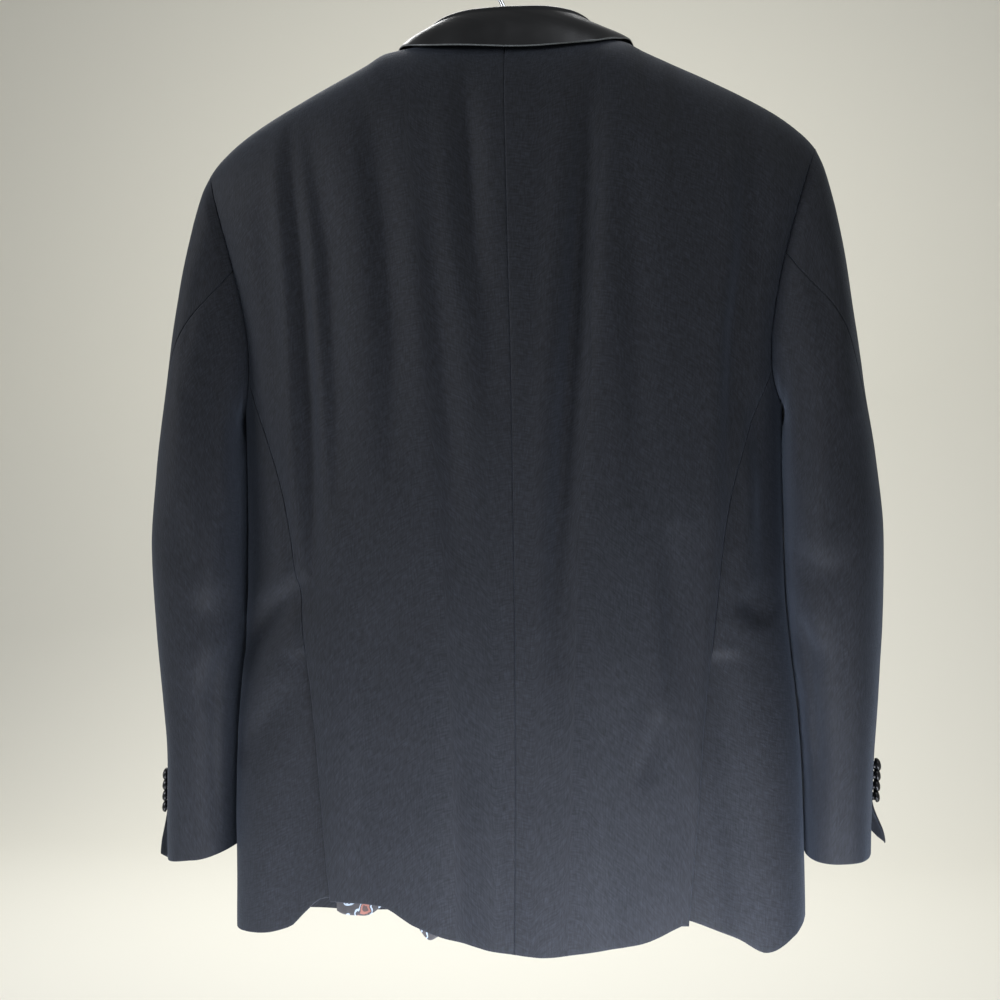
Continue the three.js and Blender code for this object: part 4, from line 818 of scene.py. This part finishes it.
# The fall's edge lies higher at the back than its table says, and more so on the left, where it also
# lies further in
EDGE_RAISED, EDGE_RAISED_LEFT, EDGE_IN_LEFT = 2.6, 3.8, 6.5
COLLAR_PLACES = [0, 0.16, 0.32, 0.46, 0.58, 0.7, 0.8, 0.9, 1]
COLLAR_LINES = {
    "seam": {
        "u": COLLAR_PLACES,
        "x": [0, 27, 52, 70, 78.5, 80.5, 80.5, 79.5, 77.5],
        "y": [44, 41.4, 33.4, 21.3, 8, -8, -26, -44, -59],
        "down": [106.2, 104, 100, 96, 94.2, 94.6, 98, 108, 128],
    },
    "roll": {
        "u": COLLAR_PLACES,
        "x": [0, 27, 51, 65.5, 71.5, 73, 73, 74.5, 75],
        "y": [41, 39, 31, 19, 4, -14, -34, -52, -66.5],
        "down": [73, 73.2, 75, 79.5, 84.5, 88.5, 96, 112, 138],
    },
    "edge": {
        "u": COLLAR_PLACES,
        "x": [0, 31, 63, 89, 103, 109, 114, 122, 133],
        "y": [55, 53.5, 47.5, 32, 9, -16, -36, -55, -64.5],
        "down": [114.5, 113.5, 110.5, 104, 97, 99.5, 108, 125, 149],
    },
}


def collar_line(kind, u):
    rows, at = COLLAR_LINES[kind], np.abs(u)
    lean = 0 if kind == "seam" else COLLAR_LEAN * (1 - smooth(0.5, 0.85, at))
    x = np.sign(u) * curve(rows, "u", "x")(at) + lean
    down = curve(rows, "u", "down")(at)
    if kind == "edge":
        raised = EDGE_RAISED + EDGE_RAISED_LEFT * smooth(-0.15, 0.25, u)
        down = down - raised * (1 - smooth(0.45, 0.75, at))
        x = x - EDGE_IN_LEFT * smooth(0.35, 0.55, u) * (1 - smooth(0.78, 0.95, u))
    return np.stack([x, curve(rows, "u", "y")(at), -down], axis=-1)


def body_level(p):
    """1 on the body's plain surface, more outside it."""
    down = -p[..., 2]
    depth = np.where(p[..., 1] > 0, body_back(down), body_front(down))
    share = np.minimum(np.abs(p[..., 0]) / body_width(down), 0.999)
    plan = (1 - share**PLAN_POWER) ** (1 / PLAN_POWER)
    above = np.maximum(1 - (down - ridge_down(np.abs(p[..., 0]))) / ARCH, 0)
    return ((np.abs(p[..., 1]) / (depth * plan)) ** ARCH_POWER + above**ARCH_POWER) ** (1 / ARCH_POWER)


def clear_of_body(p, distance):
    """Moves points straight off the body until they're at least a given distance from it."""
    for _ in range(5):
        here = body_level(p)
        slope = np.stack([body_level(p + 0.1 * step) - here for step in np.eye(3)], axis=-1) * 10
        short = distance - (here - 1) / np.maximum(np.linalg.norm(slope, axis=-1), 1e-9)
        p = p + unit(slope) * np.maximum(short, 0)[..., None]
    return p


# Silk satin: black, a soft long highlight along the threads, fine ribs, slightly uneven shine.
satin = material("silk_satin", "#0b0c0e", 0.36, Anisotropic=0.5, Sheen_Weight=0.06, Sheen_Roughness=0.3)
shader = satin.node_tree.nodes["Principled BSDF"]
shader.inputs["Specular IOR Level"].default_value = 0.42
shader.inputs["Sheen Tint"].default_value = (*linear("#aab4bd"), 1)
place = node(satin, "UVMap").outputs["UV"]
floats_place = node(satin, "Mapping", {"Scale": (1.0, 0.16, 1.0)}, {"Vector": place})
floats = noise(satin, floats_place.outputs[0], 1500.0, 2.0)
worn = noise(satin, place, 30.0, 4.0)
shine = node(satin, "MapRange", {1: 0.3, 2: 0.7, 3: 0.25, 4: 0.42}, {0: worn})
feed(satin, "Roughness", shine.outputs[0])
waves = noise(satin, place, 38.0, 1.0)
bump_waves = bumped(satin, waves, 0.4, 0.0012)
bumped(satin, floats, 0.5, 0.00008, bump_waves)

# Grey satin for the turned edge: a painted highlight along it, with uneven tone and threads that lie
# unevenly.
satin_highlight_band = material("satin_painted_edge_highlight", "#5d6264", 0.36, Sheen_Weight=0.4)
place = node(satin_highlight_band, "UVMap").outputs["UV"]
edge_unevenness = noise(satin_highlight_band, place, 600.0, 3.0)
shade = node(satin_highlight_band, "MapRange", {1: 0.3, 2: 0.7, 3: 0.6, 4: 1.35}, {0: edge_unevenness})
toned(satin_highlight_band, "#5d6264", shade.outputs[0])
bumped(satin_highlight_band, edge_unevenness, 0.5, 0.0001)

u = np.linspace(-1, 1, 181)
u = np.where(np.abs(u) < 1e-9, 1e-6, u)
roll, edge, seam = collar_line("roll", u), collar_line("edge", u), collar_line("seam", u)
away = unit((edge - seam) * np.array([1, 1, 0]))
seam = seam - away * (COLLAR_CLOTH + STAND_INSIDE)
end = smooth(0.8, 1, np.abs(u))[:, None]
fold = mix(COLLAR_FOLD, COLLAR_END_FOLD, end)
down_one = np.array([0, 0, -1.0])
middle = roll + down_one * fold
stand_top, fall_top = middle - away * fold * STAND_SHARE, middle + away * fold
notch = np.sign(u)[:, None] * np.array([GORGE_END[0], 0, 0]) + GORGE_END * np.array([0, 1, 1])
section = [mix(seam, stand_top, k) for k in np.linspace(0, 1, 7)[:-1]]
for turn in np.linspace(math.pi, 0, 9):
    reach = fold * np.where(np.cos(turn) < 0, STAND_SHARE, 1.0)
    section.append(middle + away * reach * math.cos(turn) - down_one * fold * math.sin(turn))
for k in np.concatenate((np.linspace(0, 0.9, 13)[1:], [0.94, 0.965, 0.98, 0.99, 1.0])):
    bow = COLLAR_ROUND * math.sin(math.pi * k) * (1 - end)
    p = mix(fall_top, edge, k) + away * bow * 0.7 - down_one * bow * 0.7
    bent = mix(fall_top, notch, k * 2) if k < 0.5 else mix(notch, edge, k * 2 - 1)
    p = mix(p, bent, smooth(0.88, 1, np.abs(u))[:, None] ** 2)
    section.append(clear_of_body(p, COLLAR_CLOTH + LAID_ON + 0.4) if k > 0.2 else p)
grid = np.stack(section, axis=1)
made = cloth("collar_satin", grid, -1, 1.6, [satin, satin], turned=(0, 0.9, 0.9, 0.9), pucker=0.0)
# The fall's last faces along its edge get the grey satin of the painted highlight.
made.data.materials.append(satin_highlight_band)
across = grid.shape[1] - 1
for index in range((grid.shape[0] - 1) * across):
    if index % across >= across - TURNED_FACES:
        made.data.polygons[index].material_index = 2
stand_for(made, "collar")


# The lapels
# Each is faced with the same satin, rolled back along the opening and pressed onto the front, with its
# point below the notch. The left one laps the right one at the break.
SATIN = 1.6
LAPEL = {
    "t": [0, 0.12, 0.3, 0.5, 0.7, 0.86, 1],
    "roll_x": [75, 64, 47, 28, 9, -6, -16.5],
    "roll_down": [143, 186, 254, 330, 406, 467, 510],
    "edge_x": [149, 141, 124, 97, 63, 29, -8],
    "edge_down": [196, 236, 299, 368, 432, 481, 513],
}


def on_front(label, x, down, lift):
    """A point on one front, moved outwards along the surface normal; x is counted out to that side."""
    sign = 1 if label == "left" else -1
    x, down = np.broadcast_arrays(np.asarray(x, float), np.asarray(down, float))

    def at(px, pd):
        return body_point(-1, sign * px, pd, -front_inset(label, px, pd))

    normal = unit(np.cross(at(x + 0.5, down) - at(x - 0.5, down), at(x, down + 0.5) - at(x, down - 0.5)))
    normal = np.where(normal[..., 1:2] > 0, -normal, normal)
    return at(x, down) + normal * np.asarray(lift)[..., None]


def lapel_point(label, s, t):
    """A place on a lapel's outer face: s from the roll line to the edge, t from the notch down."""
    under = label == "right"
    place = t * 0.93 if under else t
    x = mix(lapel_column["roll_x"](place), lapel_column["edge_x"](place), s)
    down = mix(lapel_column["roll_down"](place), lapel_column["edge_down"](place), s)
    flat = smooth(0.45, 0.72, place) if under else smooth(0.7, 0.95, place)
    roll = 3.6 * np.sin(math.pi * s**0.6) * (1 - flat)
    return on_front(label, x, down, LAID_ON + SATIN + roll)


def stitched(name, rows, pitch, size, facing, thread, slot):
    """Stitches along rows of points in mm; size is each one's length, width and height."""
    points, edges = [], []
    for row in rows:
        edges += [(len(points) + k, len(points) + k + 1) for k in range(len(row) - 1)]
        points += (np.asarray(row) * 0.001).tolist()
    mesh = bpy.data.meshes.new(name)
    mesh.from_pydata(points, edges, [])
    made = bpy.data.objects.new(name, mesh)
    bpy.context.scene.collection.objects.link(made)
    tree = bpy.data.node_groups.new(name + "_tree", "GeometryNodeTree")
    sockets = {}
    for title, kind in (
        ("Rows", "Geometry"), ("Stitch Pitch", "Float"), ("Stitch Size", "Vector"), ("Facing", "Vector"),
    ):
        kind = "NodeSocket" + kind
        sockets[title] = tree.interface.new_socket(title, in_out="INPUT", socket_type=kind)
    tree.interface.new_socket("Stitches", in_out="OUTPUT", socket_type="NodeSocketGeometry")
    kinds = {
        "given": "NodeGroupInput", "line": "GeometryNodeMeshToCurve", "even": "GeometryNodeResampleCurve",
        "tangent": "GeometryNodeInputTangent", "stand": "FunctionNodeAlignRotationToVector",
        "turn": "FunctionNodeAlignRotationToVector", "bead": "GeometryNodeMeshUVSphere",
        "uneven": "FunctionNodeRandomValue", "scaled": "ShaderNodeVectorMath",
        "placed": "GeometryNodeInstanceOnPoints", "real": "GeometryNodeRealizeInstances",
        "smoothed": "GeometryNodeSetShadeSmooth", "painted": "GeometryNodeSetMaterial",
        "result": "NodeGroupOutput",
    }
    at = {key: tree.nodes.new(kind) for key, kind in kinds.items()}
    at["even"].mode = "LENGTH"
    at["stand"].axis = "Z"
    at["turn"].axis = "X"
    at["turn"].pivot_axis = "Z"
    at["scaled"].operation = "SCALE"
    for key, values in (
        ("bead", {"Segments": 8, "Rings": 5, "Radius": 0.5}),
        ("uneven", {2: 0.88, 3: 1.08, "Seed": 11}),
        ("painted", {"Material": thread}),
    ):
        for title, value in values.items():
            at[key].inputs[title].default_value = value
    for origin, output, target, title in (
        ("given", "Rows", "line", "Mesh"), ("line", "Curve", "even", "Curve"),
        ("given", "Stitch Pitch", "even", "Length"), ("given", "Facing", "stand", "Vector"),
        ("stand", "Rotation", "turn", "Rotation"), ("tangent", "Tangent", "turn", "Vector"),
        ("given", "Stitch Size", "scaled", 0), ("uneven", 1, "scaled", "Scale"),
        ("even", "Curve", "placed", "Points"), ("bead", "Mesh", "placed", "Instance"),
        ("turn", "Rotation", "placed", "Rotation"), ("scaled", 0, "placed", "Scale"),
        ("placed", "Instances", "real", "Geometry"), ("real", "Geometry", "smoothed", "Geometry"),
        ("smoothed", "Geometry", "painted", "Geometry"), ("painted", "Geometry", "result", "Stitches"),
    ):
        tree.links.new(at[origin].outputs[output], at[target].inputs[title])
    modifier = made.modifiers.new("rows", "NODES")
    modifier.node_group = tree
    modifier[sockets["Stitch Pitch"].identifier] = pitch * 0.001
    modifier[sockets["Stitch Size"].identifier] = [side * 0.001 for side in size]
    modifier[sockets["Facing"].identifier] = [float(part) for part in facing]
    plain = bpy.data.meshes.new_from_object(made.evaluated_get(bpy.context.evaluated_depsgraph_get()))
    made.modifiers.clear()
    made.data = plain
    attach(made, "root")
    return made


# Twisted silk thread, a little greyer and shinier than the wool it lies in: its plies show as fine
# slanting ridges 0.25 mm apart.
thread = material("silk_thread", "#1b1e24", 0.42, Sheen_Weight=0.3)
place = node(thread, "TexCoord").outputs["Object"]
plies = node(thread, "TexWave", {"Scale": 1250.0, "Distortion": 1.0, "Detail": 1.0}, {"Vector": place})
plies.bands_direction = "DIAGONAL"
shade = node(thread, "MapRange", {3: 0.6, 4: 1.3}, {0: plies.outputs["Fac"]})
toned(thread, "#1b1e24", shade.outputs[0])
bumped(thread, plies.outputs["Fac"], 0.5, 0.00005)
lapel_column = {key: curve(LAPEL, "t", key) for key in LAPEL if key != "t"}
for label, sign in SIDES:
    s = edged_steps(26, 70)[None, :]
    t = edged_steps(90, 370)[:, None]
    grid = lapel_point(label, s, t)
    made = cloth("lapel_%s_satin" % label, grid, -sign, 1.3, [satin, satin], pucker=0.0)
    stand_for(made, "lapel_" + label)

# The fronts' edges below the lapels are picked by hand, 3 mm in, and the left lapel has a worked
# buttonhole that follows its top edge.
# Each kind of stitch in mm: its pitch, then its length, width and height
PICKED, WORKED, TACKED = (6.0, (1.3, 0.5, 0.36)), (0.62, (0.56, 2.0, 0.7)), (0.6, (0.55, 2.4, 0.6))
rows = []
for label, first in (("left", 556), ("right", 640)):
    down = np.linspace(first, 846, 90)
    rows.append(on_front(label, front_opening(down) + 3.0, down, 0.05 + 0 * down))
stitched("picked_edge_stitches", rows, *PICKED, (0, -1, 0), thread, "wool")
rows = []
for aside in (-0.0035, 0.0035):
    rows.append(lapel_point("left", np.linspace(0.6, 0.9, 24), 0.06 + aside + np.zeros(24)))
stitched("lapel_buttonhole_stitches", rows, *WORKED, (0, -1, 0), thread, "satin")


# The pockets
# Hip pockets between two satin lips each, sewn to the fronts, and a satin welt on the left breast.
def strip(name, label, begin, finish, height, lips):
    """A long narrow piece on a front; lips is how many rounded ribs it has across."""
    s = edged_steps(48, 120)[None, :]
    t = edged_steps(16, 12)[:, None] if lips > 1 else edged_steps(16, 23)[:, None]
    x = mix(begin[0], finish[0], s)
    down = mix(begin[1], finish[1], s) + mix(-height / 2, height / 2, t)
    rounded = 0.55 * np.abs(np.sin(math.pi * lips * t)) ** 0.5 if lips > 1 else 0.25 * np.sin(math.pi * t)
    grid = on_front(label, x, down, LAID_ON + SATIN - 0.1 + rounded * np.sin(math.pi * s) ** 0.1)
    made = cloth(name + "_satin", grid, -1 if label == "left" else 1, 1.4, [satin, satin], pucker=0.0)
    stand_for(made, name)
    return made


for label in ("left", "right"):
    made = strip("pocket_jet_" + label, label, (66, 628), (188, 634), 12, 2)
    rows = []
    for out in (65.6, 188.4):
        down = mix(628, 634, (out - 66) / 122) + np.linspace(-6.2, 6.2, 8)
        rows.append(on_front(label, out + 0 * down, down, 1.5 + 0 * down))
    stitched("pocket_tack_" + label, rows, *TACKED, (0, -1, 0), thread, "satin")
made = strip("breast_welt", "left", (140, 309), (200, 303), 23, 1)


# The lining's lower edge
# Inside the left back the printed lining droops below the hem in two places, so it shows from behind.
LINING = {
    "from": 30, "to": 143, "short": 2.5,
    "wide_x": 128, "wide": 22, "wide_down": 14,
    "narrow_x": 64, "narrow": 8, "narrow_down": 9,
}
s = edged_steps(60, 109)[None, :]
t = edged_steps(20, 42)[:, None]
x = mix(LINING["from"], LINING["to"], s)
wide_droop = np.exp(-(((x - LINING["wide_x"]) / LINING["wide"]) ** 4))
narrow_droop = np.exp(-(((x - LINING["narrow_x"]) / LINING["narrow"]) ** 2))
droop = LINING["wide_down"] * wide_droop + LINING["narrow_down"] * narrow_droop - LINING["short"]
down = back_hem(x) + mix(-42, droop, t)
grid = body_point(1, x, down, -(CLOTH + 0.7 + 3.6 * smooth(92, 116, x)))
made = cloth("lining_hem_cloth", grid, 1, 0.6, [lining, lining], turned=(0, 0, 0, 1), pucker=0.5)
stand_for(made, "lining_hem")


# The buttons
# Domed button moulds covered in the same satin, gathered at the back: four that overlap on each cuff,
# tilted upwards, and one at the waist.
CUFF_BUTTON = {"radius": 5.5, "thickness": 4.2, "count": 4, "pitch": 9, "top": 707, "tilt": 11}
FRONT_BUTTON = {"down": 545, "radius": 10.5, "thickness": 4.2}
BUTTON_TURN = {"left": 22, "right": 7}
BUTTON_LIFT = {"left": 0.2, "right": 2.0}
SHANK = 0.6


# A covered button's outline as shares of its radius and thickness, from the rim's foot to the dome's top
BUTTON_OUTLINE = [(0.64, 0), (0.74, 0), (0.84, 0), (0.92, 0.05), (0.98, 0.14), (1.0, 0.25), (0.985, 0.38)]
BUTTON_OUTLINE += [(0.94, 0.52), (0.86, 0.66), (0.75, 0.78), (0.6, 0.88), (0.42, 0.95), (0.22, 0.99)]


def covered_button(name, radius, thickness, place, outwards, shank):
    """A covered button as rings round its axis: a shank of cloth and thread, a rounded rim, a dome."""
    foot = -shank / thickness
    outline = [(0.62, foot), (0.58, foot / 2)] + BUTTON_OUTLINE
    count = 40
    points = [(0, 0, 0)]
    for r, h in outline:
        for k in range(count):
            angle = 2 * math.pi * k / count
            gather = 1 - 0.012 * (0.5 + 0.5 * math.sin(11 * angle)) * smooth(0.3, 0.0, h)
            wide = radius * r * gather
            points.append((wide * math.cos(angle), wide * math.sin(angle), thickness * h))
    points.append((0, 0, thickness))
    faces = []
    for k in range(count):
        after = (k + 1) % count
        faces.append((0, 1 + after, 1 + k))
        for j in range(len(outline) - 1):
            a, b = 1 + j * count, 1 + (j + 1) * count
            faces.append((a + k, a + after, b + after, b + k))
        last = 1 + (len(outline) - 1) * count
        faces.append((last + k, last + after, len(points) - 1))
    axis = Vector(outwards).normalized()
    turn = axis.to_track_quat("Z", "Y").to_matrix()
    placed = [(turn @ Vector(p) + Vector(place)) * 0.001 for p in points]
    uvs = [(p[0] * 0.001, p[1] * 0.001) for p in points]
    return mesh_object(name, placed, faces, [satin], uvs)


for label, sign in SIDES:
    for i in range(CUFF_BUTTON["count"]):
        down = CUFF_BUTTON["top"] + i * CUFF_BUTTON["pitch"]
        above, hem = SLEEVE["out_down"][-2:]
        v = mix(0.9, 1.0, (down - above) / (hem - above))
        level = sleeve_outwards(label, np.float64(BUTTON_TURN[label]), np.float64(v))
        tilt = math.radians(CUFF_BUTTON["tilt"])
        outwards = level * math.cos(tilt) + np.array([0, 0, math.sin(tilt)])
        lift = BUTTON_LIFT[label] + CUFF_BUTTON["radius"] * 0.86 * math.sin(tilt)
        place = sleeve_point(label, np.float64(BUTTON_TURN[label]), np.float64(v)) + level * lift
        name = "cuff_button_%s_%d" % (label, i + 1)
        made = covered_button(
            name + "_satin", CUFF_BUTTON["radius"], CUFF_BUTTON["thickness"], place, outwards, lift,
        )
        stand_for(made, name)
place = on_front("left", 0.0, float(FRONT_BUTTON["down"]), SHANK)
made = covered_button(
    "front_button_satin", FRONT_BUTTON["radius"], FRONT_BUTTON["thickness"], place, (0, -1, 0), SHANK,
)
stand_for(made, "front_button")


# The hanger
# A shaped hardwood bar under the shoulders, lacquered, and a plated wire hook screwed into it. The
# jacket hides the bar and the photograph's top edge cuts off the hook, so both are plain.
HANGER = {
    "out": [0, 40, 100, 160, 196, 205],
    "depth": [9, 10, 13, 18, 21, 16],
    "height": [26, 24, 20, 17, 14, 8],
}
HANGER_AIR, HANGER_ROUND = 0.6, 0.9
# Lacquered beech: a warm brown with long grain along the bar, under a thin glossy coat.
wood = material("lacquered_beech", "#8a5a34", 0.34, Coat_Weight=0.35, Coat_Roughness=0.2)
where = node(wood, "TexCoord").outputs["Object"]
stretched = node(wood, "Mapping", {"Scale": (2.0, 38.0, 38.0)}, {"Vector": where})
grain = noise(wood, stretched.outputs[0], 6.0, 6.0, Distortion=0.6)
grain_colour = node(wood, "ValToRGB", {}, {"Fac": grain})
grain_colour.color_ramp.elements[0].position = 0.35
grain_colour.color_ramp.elements[0].color = (*linear("#6f4424"), 1)
grain_colour.color_ramp.elements[1].position = 0.68
grain_colour.color_ramp.elements[1].color = (*linear("#a8744a"), 1)
feed(wood, "Base Color", grain_colour.outputs["Color"])
bumped(wood, grain, 0.2, 0.0001)


def rod(name, rings, made_of):
    """A rod with flat ends from rings of points in mm."""
    count = rings.shape[1]
    index = np.arange(len(rings) * count).reshape(len(rings), count)
    after = np.roll(index, -1, axis=1)
    faces = np.stack([index[:-1], after[:-1], after[1:], index[1:]], -1).reshape(-1, 4).tolist()
    faces += [index[0][::-1].tolist(), index[-1].tolist()]
    made = mesh_object(name, rings.reshape(-1, 3) * 0.001, faces, [made_of])
    made.data.polygons.foreach_set("use_smooth", [len(p.vertices) == 4 for p in made.data.polygons])
    return made


rings, count = np.linspace(-HANGER["out"][-1], HANGER["out"][-1], 121), 32
turn = np.linspace(0, 2 * math.pi, count, endpoint=False)[None, :]
out = np.abs(rings)[:, None]
top = -ridge_down(out) - CLOTH - HANGER_AIR - 0.5 * smooth(40, 120, out)
half_depth, half_height = curve(HANGER, "out", "depth")(out), curve(HANGER, "out", "height")(out) / 2
y = half_depth * power(np.cos(turn), HANGER_ROUND)
z = top - half_height + half_height * power(np.sin(turn), HANGER_ROUND)
points = np.stack([rings[:, None] + 0 * y, y, z], axis=-1)
made = rod("hanger_bar_wood", points, wood)
stand_for(made, "hanger_bar")

# Nickel-plated wire: bright, with faint smears that make its shine uneven.
steel = material("plated_wire", "#c8cacc", 0.2, Metallic=1.0)
where = node(steel, "TexCoord").outputs["Object"]
smears = noise(steel, where, 160.0, 4.0)
shine = node(steel, "MapRange", {3: 0.14, 4: 0.3}, {0: smears})
feed(steel, "Roughness", shine.outputs[0])
HOOK = {
    "wire": 2.0, "bow": 22.0, "neck_down": 55.0, "neck_below": 12, "neck_pull": 9.0,
    "begin": -38, "finish": 196, "bow_pull": 0.42,
}
foot = float(ridge_down(0)) + CLOTH + HANGER_AIR - 0.3
angles = np.radians(np.linspace(HOOK["begin"], HOOK["finish"], 61))
bow_z = HOOK["bow"] * np.sin(angles) - HOOK["bow"] + HOOK["wire"]
bow = np.stack([HOOK["bow"] * np.cos(angles), bow_z], -1)
rise = np.linspace(0, 1, 25)[:-1, None]
neck = np.array([[0.0, -foot], [0.0, -HOOK["neck_down"] - HOOK["neck_below"]]])
along_bow = math.radians(HOOK["begin"] + 90)
leave = bow[0] - HOOK["bow_pull"] * HOOK["bow"] * np.array([math.cos(along_bow), math.sin(along_bow)])
straight = np.linspace(neck[0], neck[1], 9)[:-1]
above_neck = neck[1] + np.array([0, HOOK["neck_pull"]])
bend = (1 - rise) ** 3 * neck[1] + 3 * (1 - rise) ** 2 * rise * above_neck
bend = bend + 3 * (1 - rise) * rise**2 * leave + rise**3 * bow[0]
path = np.concatenate((straight, bend, bow))
along_path = unit(np.gradient(path, axis=0))
aside = np.stack([along_path[:, 1], -along_path[:, 0]], -1)
radius = np.full(len(path), HOOK["wire"])
path = np.concatenate((path, path[-1:] + along_path[-1] * 1.2, path[-1:] + along_path[-1] * 1.8))
aside = np.concatenate((aside, aside[-1:], aside[-1:]))
radius = np.concatenate((radius, [HOOK["wire"] * 0.86, HOOK["wire"] * 0.45]))
turn = np.linspace(0, 2 * math.pi, 20, endpoint=False)
flat = path[:, None, :] + (aside * radius[:, None])[:, None, :] * np.cos(turn)[None, :, None]
points = np.stack([flat[..., 0], radius[:, None] * np.sin(turn)[None, :], flat[..., 1]], -1)
made = rod("hanger_hook_wire", points, steel)
stand_for(made, "hanger_hook")
